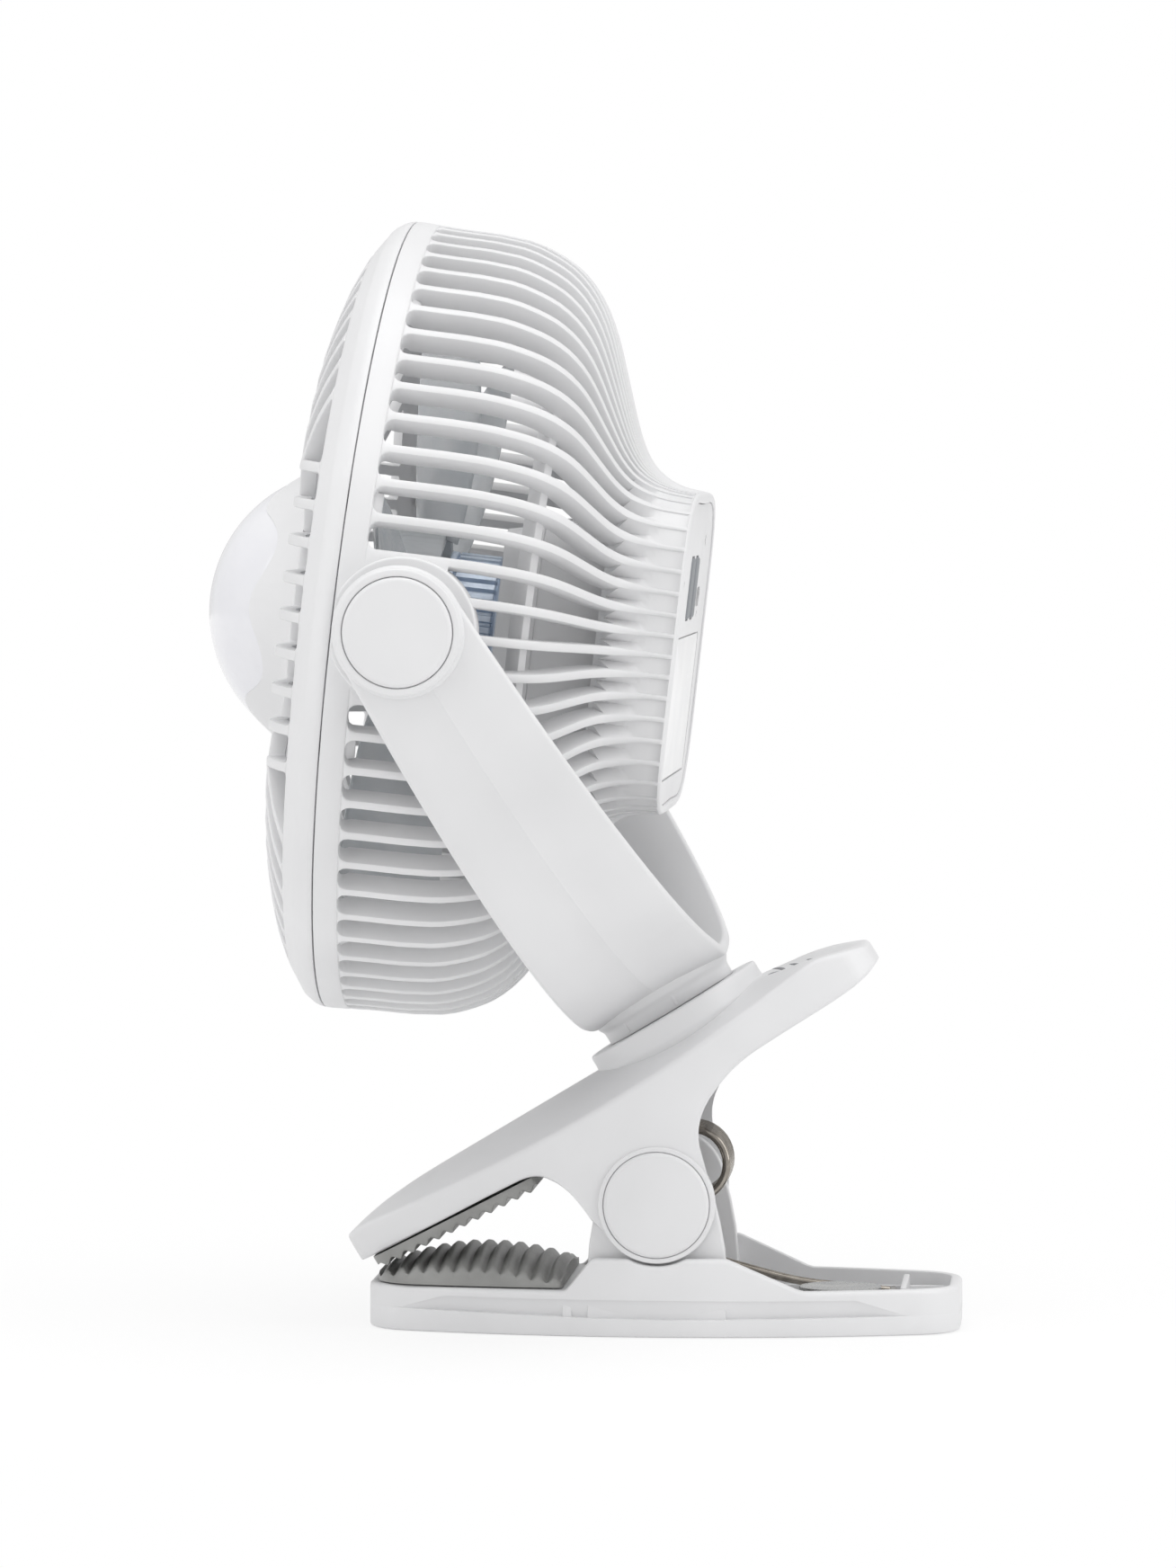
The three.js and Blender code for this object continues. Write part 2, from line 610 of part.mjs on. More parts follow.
// ---------------------------------------------------------------- head (frame at the rim seam)
// half-section of the guard in the upright plane: distance behind the seam, radius
const rearSection = [
  [0, 91.9], [11.5, 91.3], [19.5, 91.3], [27.9, 90.4], [33.5, 88.2], [38.1, 85.8], [42.2, 82.2], [45.7, 77.3],
  [48.4, 71.6], [50.9, 64.2], [53.5, 56.4], [55.9, 49.3], [59, 43.3], [62.8, 39.8], [67.2, 37.8],
  [rearFace, 37.1],
];

// distance from the axis to the edge of the rounded-rectangle rear end, for an angle from upright
function podEdge(angle) {
  const power = 5;
  const across = Math.abs(Math.sin(angle) / podHalfWidth) ** power;
  const upright = Math.abs(Math.cos(angle) / podHalfHeight) ** power;
  return (across + upright) ** (-1 / power);
}

function guardRadius(b, angle) {
  const end = podEdge(angle);
  const share = (lookup(rearSection, b) - podHalfHeight) / (rimRadius - podHalfHeight);
  return end + share * (rimRadius - end);
}

function rearHousing() {
  const slotStart = 1;
  const slotEnd = 6;
  const stations = [0, 5.5, 27.4, 38.6, 46.9, 53.7, 61, rearFace, rearFace];
  const wall = [2.2, 2.2, rearRibDepth, rearRibDepth, rearRibDepth, 5, 3, 2.4, 2.4];
  const pole = stations.length - 1;
  const pitch = (2 * Math.PI) / rearSlots;
  const columnAngle = (i, j) => {
    const rib = pitch * (Math.floor(j / 2) + 0.5);
    if (i < slotStart || i > slotEnd) return rib;
    return rib + (j % 2 === 0 ? -1 : 1) * Math.asin(rearRib / 2 / guardRadius(stations[i], rib));
  };
  const place = (radius, b, angle) => [radius * Math.sin(angle), b, radius * Math.cos(angle)];
  const outer = (i, j) => {
    if (i === pole) return [0, rearFace, 0];
    const angle = columnAngle(i, j);
    return place(guardRadius(stations[i], angle), stations[i], angle);
  };
  const inner = (i, j) => {
    if (i === pole) return [0, rearFace - wall[i], 0];
    const angle = columnAngle(i, j);
    if (i === pole - 1) return place(guardRadius(rearFace, angle) - wall[i], rearFace - wall[i], angle);
    const step = 1.5;
    const slope = (guardRadius(stations[i] + step, angle) - guardRadius(Math.max(stations[i] - step, 0), angle));
    const length = Math.hypot(slope, 2 * step);
    const b = stations[i] + (wall[i] * slope) / length;
    const radius = guardRadius(stations[i], angle) - (wall[i] * 2 * step) / length;
    return place(radius, i === 0 ? 0 : b, angle);
  };
  const quarter = rearSlots / 4;
  const isOpen = (i, j) => {
    if (j % 2 === 0 || i < slotStart || i >= slotEnd) return false;
    const slot = ((j + 1) / 2) % rearSlots;
    const fromSide = Math.abs((slot % (rearSlots / 2)) - quarter);
    return fromSide < 2 ? i >= 2 : true;
  };
  const shell = slottedShell({ rows: pole + 1, columns: 2 * rearSlots, outer, inner, isOpen, lastIsPole: true });
  return cut(join(shell, tiltBoss(1), tiltBoss(-1)), ...rearCutouts(), tiltBore(1), tiltBore(-1));
}

function tiltBoss(side) {
  const beforeSeam = box(80, 97, -10, 0.6, -30, 30);
  const plate = cut(cylinderX(16.5, 84, rimRadius + 0.4, 30, seamToTilt, 0), beforeSeam);
  const boss = join(plate, cylinderX(12, 84, 95.2, 24, seamToTilt, 0));
  return side > 0 ? boss : boss.mirror([1, 0, 0]);
}

function tiltBore(side) {
  const bore = cylinderX(2.9, 80, 97, 20, seamToTilt, 0);
  return side > 0 ? bore : bore.mirror([1, 0, 0]);
}

// rear face: inset panel, label recess, two key windows, charge port and lamp hole
const keyCentres = [15, 0];
const keyHeight = 15;
const portCentre = [-18, 12.6];
const lampCentre = [-24, 25.7];
const labelHalf = [38, 16.5];
const labelHeight = -12.5;

function rearCutouts() {
  const panel = frontPrism(roundedRectangle(48.5, 33.6, 12), rearFace - 0.5, rearFace + 2);
  const label = frontPrism(roundedRectangle(...labelHalf, 2, 0, labelHeight), rearFace - 1.3, rearFace + 2);
  const keys = keyCentres.map((x) => frontPrism(
    roundedRectangle(5.7, 7.5, 1.6, x, keyHeight), rearFace - 5, rearFace + 2));
  const port = frontPrism(roundedRectangle(5.6, 2.3, 2.2, ...portCentre), rearFace - 5, rearFace + 2);
  const lamp = cylinderY(1.5, rearFace - 5, rearFace + 2, 14, ...lampCentre);
  return [panel, label, ...keys, port, lamp];
}

// Front cover, from the dome outwards: radius and distance in front of the seam of its outer skin,
// then of its inner skin. The slots lie between the third row and the fifth.
const frontSection = [
  [29.6, 24.8, 29.1, 24.1], [34.2, 16.6, 33.2, 14.8], [36, 15.5, 36, 12], [66, 15.2, 65, 11.4],
  [84.5, 8.3, 83, 5.8], [91.3, 3.2, 88.4, 2.2], [91.9, 0, 88.7, 0],
];

// The ribs run side by side in six sectors and meet the next sector's ribs in chevrons.
function frontGrille() {
  const [domeEdge, skirt, slotInner, bend, slotOuter, rimEdge, rim] = frontSection.map((row) => row[0]);
  const outer = [];
  const inner = [];
  const faces = [];
  const known = new Map();
  const skin = (radius, value) => lookup(frontSection.map((row) => [row[0], row[value]]), radius);
  const place = (radius, front, angle) => [radius * Math.sin(angle), -front, radius * Math.cos(angle)];
  const corner = (radius, degrees) => {
    const name = `${radius.toFixed(2)} ${Math.round(degrees * 100 + 36000) % 36000}`;
    if (!known.has(name)) {
      const angle = THREE.MathUtils.degToRad(degrees);
      known.set(name, outer.length);
      outer.push(place(radius, skin(radius, 1), angle));
      inner.push(place(skin(radius, 2), skin(radius, 3), angle));
    }
    return known.get(name);
  };
  const turnAt = (offset, radius) => THREE.MathUtils.radToDeg(Math.asin(offset / radius));
  const quad = (a, b, c, d) => faces.push([a, b, c, d]);
  const ribEdges = (count) => {
    const offsets = [];
    for (let n = -count; n <= count; n += 1) {
      offsets.push(n * frontRibPitch - frontRib / 2, n * frontRibPitch + frontRib / 2);
    }
    return offsets;
  };
  const ring = (turns, radii) => turns.slice(0, -1).forEach((turn, k) => radii.slice(0, -1).forEach((radius, i) => {
    quad(corner(radius, turn), corner(radius, turns[k + 1]), corner(radii[i + 1], turns[k + 1]), corner(radii[i + 1], turn));
  }));
  const rib = (sector, left, right, reach) => {
    const near = (offset) => Math.max(slotInner, reach ? 2 * Math.abs(offset) : 0);
    const radii = (offset) => [near(offset), ...(bend > 2 * reach ? [bend] : []), slotOuter];
    const edge = (offset) => radii(offset).map((r) => corner(r, sector + turnAt(offset, r)));
    const [a, b] = [edge(left), edge(right)];
    for (let i = 0; i < a.length - 1; i += 1) quad(a[i], b[i], b[i + 1], a[i + 1]);
  };
  for (let sector = 30; sector < 390; sector += 60) {
    const rimTurns = ribEdges(4).map((offset) => sector + turnAt(offset, slotOuter));
    ring([sector - 30, ...rimTurns, sector + 30], [slotOuter, rimEdge, rim]);
    ring(ribEdges(2).map((offset) => sector + turnAt(offset, slotInner)), [domeEdge, skirt, slotInner]);
    for (let n = -4; n <= 4; n += 1) {
      const middle = n * frontRibPitch;
      rib(sector, middle - frontRib / 2, middle + frontRib / 2, Math.abs(n) > 2 ? Math.abs(middle) + frontRib / 2 : 0);
    }
  }
  return join(thickPlate(outer, inner, faces), ...snapHooks());
}

// ten snap hooks that reach behind the seam, each in the middle of a rear slot
function snapHooks() {
  const outline = [point(-2, 86.9), point(7.4, 87.4), point(7.4, 88.2), point(5.6, 89.2), point(-2, 89.2)];
  const hook = sidePrism(outline, -2.3, 2.3);
  return Array.from({ length: 10 }, (_, k) => hook.rotate([0, 36 * k, 0]));
}

function grilleDome() {
  const outerArc = [];
  const innerArc = [];
  const lip = 66;
  const steps = 5;
  for (let i = 0; i <= steps; i += 1) {
    const angle = THREE.MathUtils.degToRad((lip * i) / steps);
    outerArc.push(point(domeRadius * Math.sin(angle), domeCentre - domeRadius * Math.cos(angle)));
    const inside = domeRadius - 2.2;
    innerArc.push(point(inside * Math.sin(angle), domeCentre - inside * Math.cos(angle)));
  }
  return solidOf(latheY([...outerArc, ...innerArc.reverse()], 26));
}

// ---------------------------------------------------------------- inside the head
const podFront = 39;
const motorRadius = 17;
const motorFront = 15.5;
const motorScrewX = [11, -11];

function podCover() {
  const tub = frontPrism(roundedRectangle(44, 27, 6), podFront, rearFace - 2.8);
  const pedestal = frontPrism(roundedRectangle(24, 24, 6), podFront - 9, podFront + 1);
  const outer = cut(join(tub, pedestal), cylinderY(motorRadius + gap, podFront - 10, podFront, 24));
  const hollow = frontPrism(roundedRectangle(42, 25, 4.5), podFront + 2, rearFace);
  const wireHole = cylinderY(6, podFront - 1, podFront + 3, 16);
  const screwHoles = motorScrewX.map((x) => cylinderY(1.6, podFront - 1, podFront + 3, 12, x, 0));
  return cut(outer, hollow, wireHole, ...screwHoles);
}

function motorCan() {
  const end = podFront - gap;
  const profile = [
    point(0, motorFront), point(5, motorFront), point(5, motorFront + 2), point(motorRadius - 1.5, motorFront + 2),
    point(motorRadius, motorFront + 3.5), point(motorRadius, end - 1.5), point(motorRadius - 1.5, end),
    point(0, end),
  ];
  const bore = cylinderY(1.9, motorFront - 1, motorFront + 8, 16);
  const screwHoles = motorScrewX.map((x) => cylinderY(1.6, end - 6, end + 1, 12, x, 0));
  return cut(solidOf(latheY(profile, 24)), bore, ...screwHoles);
}

function motorShaft() {
  return cylinderY(1.5, -1, motorFront + 7.4, 16);
}

// hub like a cup, and blades twisted from root to tip
function rotor() {
  const hubRadius = 22;
  const front = 0.5;
  const back = 15.1;
  const profile = [
    point(0, front), point(17, front + 0.4), point(20.5, front + 2), point(hubRadius, front + 5),
    point(hubRadius, back), point(hubRadius - 2, back), point(hubRadius - 2, front + 4),
    point(4, front + 3.4), point(4, motorFront - 2), point(0, motorFront - 2),
  ];
  const hub = cut(solidOf(latheY(profile, 24)), cylinderY(1.8, front - 2, motorFront, 12));
  const blades = Array.from({ length: bladeCount }, (_, k) => blade(hubRadius).rotate([0, (360 / bladeCount) * k, 0]));
  return join(hub, ...blades);
}

function blade(hubRadius) {
  const spanSteps = 5;
  const chordSteps = 5;
  const thickness = 1.5;
  const middle = 12.5;
  const root = hubRadius - 1;
  const skinPoint = (s, c, side) => {
    const radius = root + (rotorRadius - root) * (1 - (1 - s) ** 1.15);
    const sweepBack = 0.12 * Math.sin(Math.PI * s * 0.8) + 0.22 * s * s;
    const half = THREE.MathUtils.lerp(0.48, 0.36, s) * (s > 0.9 ? 1 - 2.2 * (s - 0.9) : 1);
    const angle = sweepBack + half * c;
    const pitchAngle = THREE.MathUtils.degToRad(THREE.MathUtils.lerp(37, 23, s));
    const camber = 2.2 * (1 - c * c);
    const depth = middle + radius * half * c * Math.tan(pitchAngle) * 0.72 - camber;
    const edge = Math.abs(c) > 0.99 || s > 0.99 ? 0.45 : 1;
    const y = depth + (side * thickness * edge) / 2;
    return [radius * Math.sin(angle), THREE.MathUtils.clamp(y, 1.5, 27), radius * Math.cos(angle)];
  };
  const positions = [];
  for (let side = -1; side <= 1; side += 2) {
    for (let i = 0; i <= spanSteps; i += 1) {
      for (let j = 0; j <= chordSteps; j += 1) positions.push(...skinPoint(i / spanSteps, (2 * j) / chordSteps - 1, side));
    }
  }
  const row = chordSteps + 1;
  const sheet = row * (spanSteps + 1);
  const triangles = [];
  const quad = (a, b, c, d) => triangles.push(a, b, c, a, c, d);
  for (let i = 0; i < spanSteps; i += 1) {
    for (let j = 0; j < chordSteps; j += 1) {
      const a = i * row + j;
      quad(a, a + 1, a + row + 1, a + row);
      quad(sheet + a, sheet + a + row, sheet + a + row + 1, sheet + a + 1);
    }
  }
  for (let j = 0; j < chordSteps; j += 1) {
    quad(j + 1, j, sheet + j, sheet + j + 1);
    const tip = spanSteps * row + j;
    quad(tip, tip + 1, sheet + tip + 1, sheet + tip);
  }
  for (let i = 0; i < spanSteps; i += 1) {
    const a = i * row;
    quad(a, a + row, sheet + a + row, sheet + a);
    const b = a + chordSteps;
    quad(b + row, b, sheet + b, sheet + b + row);
  }
  const geometry = new THREE.BufferGeometry();
  geometry.setAttribute('position', new THREE.Float32BufferAttribute(positions, 3));
  geometry.setIndex(triangles);
  return solidOf(geometry);
}

// screw along Y whose head faces the rear
function screwY(x, z, tip, head, radius = 1.3) {
  const profile = [
    point(0, tip), point(radius, tip), point(radius, head - 1.6), point(radius * 2, head - 1.6),
    point(radius * 2, head), point(0, head),
  ];
  return solidOf(latheY(profile, 14)).translate([x, 0, z]);
}

function key(x) {
  const cap = frontPrism(roundedRectangle(5.35, 7.15, 1.4, x, keyHeight), rearFace - 3.6, rearFace - 0.1);
  const flange = frontPrism(roundedRectangle(6.4, 8.2, 1.4, x, keyHeight), rearFace - 4.4, rearFace - 2.8);
  return join(cap, flange);
}

function chargeSocket() {
  const shell = frontPrism(roundedRectangle(4.5, 1.6, 1.5, ...portCentre), rearFace - 7.2, rearFace - 1.4);
  const mouth = frontPrism(roundedRectangle(4.2, 1.3, 1.2, ...portCentre), rearFace - 6.4, rearFace);
  const tongue = frontPrism(roundedRectangle(3.2, 0.35, 0.3, ...portCentre), rearFace - 6.6, rearFace - 2.2);
  return join(cut(shell, mouth), tongue);
}

// ---------------------------------------------------------------- assembly
const fan = new THREE.Group();

const base = new THREE.Group();
piece(base, 'base_shell', cut(baseShell(), sideScoop(1), sideScoop(-1)), whiteShell());
piece(base, 'lower_grip_pad', lowerPad(), greyRubber());
piece(base, 'spring_seat', springSeat(), steel());
piece(base, 'clip_pin_left', clipPin(1), steel());
piece(base, 'clip_pin_right', clipPin(-1), steel());
piece(base, 'clip_spring', jawSpring(), steel());
fan.add(base);

const lever = new THREE.Group();
lever.position.set(0, pivotY, pivotZ);
lever.rotation.x = leverTilt;
piece(lever, 'clip_lever', clipLever(), whiteShell());
piece(lever, 'upper_grip_pad', upperPad(), greyRubber());
piece(lever, 'pin_cap_left', roundCap(legOuter + 1.2, 1), whiteShell());
piece(lever, 'pin_cap_right', roundCap(legOuter + 1.2, -1), whiteShell());
fan.add(lever);

// the swivel axis leaves the collar square to it and meets the tilt axis
const collar = new THREE.Vector3(0, collarY, collarTop).applyEuler(lever.rotation).add(lever.position);
const tiltAxis = new THREE.Vector3(0, 0, tiltToCollar).applyEuler(lever.rotation).add(collar);
console.log(`tilt axis at y ${tiltAxis.y.toFixed(2)}, z ${tiltAxis.z.toFixed(2)} mm`);
console.log(`collar centre at y ${collar.y.toFixed(2)}, z ${collar.z.toFixed(2)} mm`);

const yoke = new THREE.Group();
yoke.position.copy(tiltAxis);
yoke.rotation.x = leverTilt;
piece(yoke, 'yoke', yokeBody(), whiteShell());
piece(yoke, 'tilt_cap_left', roundCap(yokeBossFace + 0.5, 1), whiteShell());
piece(yoke, 'tilt_cap_right', roundCap(yokeBossFace + 0.5, -1), whiteShell());
piece(yoke, 'tilt_screw_left', tiltScrew(1), steel());
piece(yoke, 'tilt_screw_right', tiltScrew(-1), steel());
piece(yoke, 'tilt_washer_left', tiltWasher(1), steel());
piece(yoke, 'tilt_washer_right', tiltWasher(-1), steel());
piece(yoke, 'swivel_washer', swivelWasher(), steel());
piece(yoke, 'swivel_screw', swivelScrew(), steel());
fan.add(yoke);

const head = new THREE.Group();
head.position.copy(tiltAxis);
head.rotation.x = headTilt;
const seam = new THREE.Group();
seam.position.y = -seamToTilt;
head.add(seam);
piece(seam, 'rear_housing', rearHousing(), whiteShell());
piece(seam, 'front_grille', frontGrille().translate([0, -0.1, 0]), whiteShell());
piece(seam, 'grille_dome', grilleDome(), glossWhite());
piece(seam, 'pod_cover', podCover(), whiteShell());
piece(seam, 'motor_can', motorCan(), steel());
piece(seam, 'motor_shaft', motorShaft(), steel());
piece(seam, 'fan_rotor', rotor(), whiteShell());
piece(seam, 'motor_screw_left', screwY(motorScrewX[0], 0, podFront - 5, podFront + 4), steel());
piece(seam, 'motor_screw_right', screwY(motorScrewX[1], 0, podFront - 5, podFront + 4), steel());
piece(seam, 'battery_upper', cylinderX(9.2, -32.5, 32.5, 28, 53.5, 9.8), finish('#3d6ea8', 0.4, 0));
piece(seam, 'battery_lower', cylinderX(9.2, -32.5, 32.5, 28, 53.5, -9.8), finish('#3d6ea8', 0.4, 0));
piece(seam, 'circuit_board', box(-36, 36, 63.4, 65, -20, 24.6), finish('#2f6b45', 0.5, 0));
piece(seam, 'power_button', key(keyCentres[0]), darkPlastic());
piece(seam, 'speed_button', key(keyCentres[1]), darkPlastic());
piece(seam, 'charge_socket', chargeSocket(), steel());
piece(seam, 'charge_lamp', cylinderY(1.2, rearFace - 2.5, rearFace - 0.7, 14, ...lampCentre), glossWhite());
const labelPlate = frontPrism(roundedRectangle(labelHalf[0] - gap, labelHalf[1] - gap, 1.7, 0, labelHeight),
  rearFace - 1, rearFace - 0.6);
piece(seam, 'rating_label', labelPlate, finish('#f4f4f4', 0.6, 0));
fan.add(head);

export default fan;
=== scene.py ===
import math

import bmesh
import bpy
import numpy as np
from mathutils import Matrix, Vector


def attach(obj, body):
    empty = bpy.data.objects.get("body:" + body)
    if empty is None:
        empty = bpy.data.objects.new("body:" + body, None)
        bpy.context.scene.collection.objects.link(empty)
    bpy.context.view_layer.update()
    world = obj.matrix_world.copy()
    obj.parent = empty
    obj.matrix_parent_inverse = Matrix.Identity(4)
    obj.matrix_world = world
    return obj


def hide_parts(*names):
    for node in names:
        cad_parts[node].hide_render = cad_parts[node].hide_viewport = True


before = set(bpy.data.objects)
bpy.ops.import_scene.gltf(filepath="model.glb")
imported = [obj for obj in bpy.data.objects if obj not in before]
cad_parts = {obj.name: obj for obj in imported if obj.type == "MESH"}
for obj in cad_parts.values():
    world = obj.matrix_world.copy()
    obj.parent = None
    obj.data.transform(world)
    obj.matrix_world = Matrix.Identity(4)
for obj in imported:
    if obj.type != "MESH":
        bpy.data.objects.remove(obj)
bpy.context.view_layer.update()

# Clip fan. Shapes are worked out in millimetres, each in the frame of the part that carries it,
# and written to the mesh in metres. Each piece has its own settings above the code that uses it.
mm = 0.001
print("frame loaded:", len(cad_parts), "nodes")


# places of the moving parts

# a frame turned about X: move to origin, turn, then shift inside the turned frame
def turnedFrame(origin, degrees, shift=(0, 0, 0)):
    turn = Matrix.Rotation(math.radians(degrees), 4, "X")
    return np.array(Matrix.Translation(origin) @ turn @ Matrix.Translation(shift))


clipSettings = {"pin": (0, -1.5, 30.4), "leverTurn": 31.0, "collarAlong": 23.6, "collarTop": 35.9}
tiltSettings = {"aboveCollar": 104.5, "headTurn": -6.6, "seamToTilt": 15.5}

world = np.eye(4)
leverFrame = turnedFrame(clipSettings["pin"], clipSettings["leverTurn"])
tiltPoint = leverFrame @ np.array([0, clipSettings["collarAlong"],
                                   clipSettings["collarTop"] + tiltSettings["aboveCollar"], 1])
yokeFrame = turnedFrame(tiltPoint[:3], clipSettings["leverTurn"])
headFrame = turnedFrame(tiltPoint[:3], tiltSettings["headTurn"], (0, -tiltSettings["seamToTilt"], 0))


# arrays to meshes

# quads of a grid of points, shape (rows, columns, 3); wrapping joins the last column or row to the first
def gridChunk(grid, wrapColumns=True, wrapRows=False):
    rows, columns = grid.shape[:2]
    index = np.arange(rows * columns).reshape(rows, columns)
    if wrapColumns:
        index = np.hstack([index, index[:, :1]])
    if wrapRows:
        index = np.vstack([index, index[:1]])
    quads = np.stack([index[:-1, :-1], index[:-1, 1:], index[1:, 1:], index[1:, :-1]], -1)
    return grid.reshape(-1, 3), quads.reshape(-1, 4)


# a row of sections closed at both ends by the middle point of the end section
def capped(grid):
    first = np.broadcast_to(grid[:1].mean(1, keepdims=True), grid[:1].shape)
    last = np.broadcast_to(grid[-1:].mean(1, keepdims=True), grid[-1:].shape)
    return np.concatenate([first, grid, last])


# Two skins over one grid. Closed cells are filled on both skins, and every edge between a closed cell
# and an open one, or the rim of the grid, gets a wall from skin to skin.
def shellChunk(outer, inner, closed, wrapColumns=True):
    rows, columns = outer.shape[:2]
    index = np.arange(rows * columns).reshape(rows, columns)
    right = np.roll(index, -1, 1)
    count = rows * columns
    if not wrapColumns:
        closed = closed.copy()
        closed[:, -1] = False
    skin = np.stack([index[:-1], right[:-1], right[1:], index[1:]], -1)[closed]
    faces = [skin, skin[:, ::-1] + count]
    padded = np.pad(closed, ((1, 1), (0, 0)))
    for edge in (padded[1:] & ~padded[:-1], padded[:-1] & ~padded[1:]):
        faces.append(np.stack([index, right, right + count, index + count], -1)[edge])
    for edge in (closed & ~np.roll(closed, 1, 1), np.roll(closed, 1, 1) & ~closed):
        faces.append(np.stack([index[:-1], index[1:], index[1:] + count, index[:-1] + count], -1)[edge])
    return np.concatenate([outer.reshape(-1, 3), inner.reshape(-1, 3)]), np.concatenate(faces)


# a corner list with its corners rounded: a parabola between points set back along both edges
def rounded(corners, setBack, steps=4, closed=False):
    corners = np.array(corners, float)
    setBack = np.broadcast_to(np.asarray(setBack, float), len(corners))
    toBefore = np.roll(corners, 1, 0) - corners
    toAfter = np.roll(corners, -1, 0) - corners
    lengthBefore = np.linalg.norm(toBefore, axis=1)
    lengthAfter = np.linalg.norm(toAfter, axis=1)
    reach = np.minimum(setBack, 0.48 * np.minimum(lengthBefore, lengthAfter))
    start = corners + toBefore * (reach / lengthBefore)[:, None]
    end = corners + toAfter * (reach / lengthAfter)[:, None]
    t = np.linspace(0, 1, steps + 1)[None, :, None]
    curve = (1 - t) ** 2 * start[:, None] + 2 * t * (1 - t) * corners[:, None] + t ** 2 * end[:, None]
    if not closed:
        curve[0], curve[-1] = corners[0], corners[-1]
    flat = curve.reshape(-1, 2)
    keep = np.linalg.norm(flat - np.roll(flat, 1, 0), axis=1) > 1e-6
    keep[0] = keep[0] or not closed
    return flat[keep]


# an angle range on a circle, in degrees
def arc(centre, radius, start, end, steps):
    turn = np.radians(np.linspace(start, end, steps + 1))
    return np.stack([centre[0] + radius * np.cos(turn), centre[1] + radius * np.sin(turn)], -1)


axisOrder = {"x": (2, 0, 1), "y": (0, 2, 1), "z": (0, 1, 2)}


# a profile of (radius, distance) turned round an axis: (r cos t, r sin t, d)
def lathe(profile, segments, axis="z", ring=False, centre=(0, 0, 0)):
    profile = np.asarray(profile, float)
    turn = np.linspace(0, 2 * np.pi, segments, endpoint=False)
    radius = profile[:, :1]
    parts = (radius * np.cos(turn), radius * np.sin(turn), np.repeat(profile[:, 1:2], segments, 1))
    grid = np.stack([parts[k] for k in axisOrder[axis]], -1) + np.array(centre, float)
    return gridChunk(grid, wrapRows=ring)


# outward direction at each point of a closed outline, square to the chord between its neighbours
def outwardOf(outline):
    chord = np.roll(outline, -1, 0) - np.roll(outline, 1, 0)
    normal = np.stack([chord[:, 1], -chord[:, 0]], -1) / np.linalg.norm(chord, axis=1)[:, None]
    x, y = outline.T
    area = np.sum(x * np.roll(y, -1) - y * np.roll(x, -1))
    return normal if area > 0 else -normal


# a closed outline carried along an axis, with both end edges rounded by a quarter circle of the bevel
def puck(outline, low, high, bevel=0.4, steps=3, axis="z"):
    outline = np.asarray(outline, float)
    outward = outwardOf(outline)
    turn = np.linspace(0, np.pi / 2, steps + 1)
    inset = bevel * (1 - np.sin(turn))
    rise = bevel * (1 - np.cos(turn))
    levels = np.concatenate([low + rise, (high - rise)[::-1]])
    insets = np.concatenate([inset, inset[::-1]])
    flat = outline[None] - insets[:, None, None] * outward[None]
    height = np.broadcast_to(levels[:, None], flat.shape[:2])
    parts = (flat[..., 0], flat[..., 1], height)
    return gridChunk(capped(np.stack([parts[k] for k in axisOrder[axis]], -1)))


def roundedRectangle(halfWidth, halfHeight, corner, centre=(0, 0), steps=6):
    x, y = halfWidth - corner, halfHeight - corner
    cx, cy = centre
    return np.concatenate([
        arc((cx + x, cy - y), corner, -90, 0, steps), arc((cx + x, cy + y), corner, 0, 90, steps),
        arc((cx - x, cy + y), corner, 90, 180, steps), arc((cx - x, cy - y), corner, 180, 270, steps)])


# a chunk moved by a 4x4 frame
def moved(chunk, place):
    points, faces = chunk
    return points @ place[:3, :3].T + place[:3, 3], faces


def mirrored(chunk):
    points, faces = chunk
    return points * np.array([-1, 1, 1]), faces[:, ::-1]


def turnAbout(axis, degrees):
    return np.array(Matrix.Rotation(math.radians(degrees), 4, axis))


# value read off a (place, value) list and softened by averaging over a width
def softLookup(table, place, width):
    table = np.asarray(table, float)
    place = np.asarray(place, float)
    offsets = np.linspace(-1, 1, 9)
    weights = 1.2 - offsets ** 2
    total = sum(w * np.interp(place + o * width, table[:, 0], table[:, 1]) for w, o in zip(weights, offsets))
    return total / weights.sum()


# chunks joined into one object at the origin, doubles merged and faces turned outward
def meshObject(name, chunks, place=world):
    points, faces, start = [], [], 0
    for chunkPoints, chunkFaces in chunks:
        points.append(chunkPoints @ place[:3, :3].T + place[:3, 3])
        faces.append(chunkFaces + start)
        start += len(chunkPoints)
    mesh = bpy.data.meshes.new(name)
    mesh.from_pydata((np.concatenate(points) * mm).tolist(), [], np.concatenate(faces).tolist())
    work = bmesh.new()
    work.from_mesh(mesh)
    bmesh.ops.remove_doubles(work, verts=work.verts, dist=2e-6)
    bmesh.ops.recalc_face_normals(work, faces=work.faces)
    work.to_mesh(mesh)
    work.free()
    piece = bpy.data.objects.new(name, mesh)
    bpy.context.scene.collection.objects.link(piece)
    return piece


# smooth shading except across edges sharper than the angle
def shadeSmooth(piece, angle):
    piece.data.polygons.foreach_set("use_smooth", np.ones(len(piece.data.polygons), bool))
    piece.data.set_sharp_from_angle(angle=math.radians(angle))


# a finished piece: its mesh, material, body, material slot and the nodes that it stands for
def finishPiece(piece, material, body, replaced=(), angle=34):
    shadeSmooth(piece, angle)
    piece.data.materials.clear()
    piece.data.materials.append(material)
    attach(piece, body)
    if replaced:
        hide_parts(*replaced)
    return piece


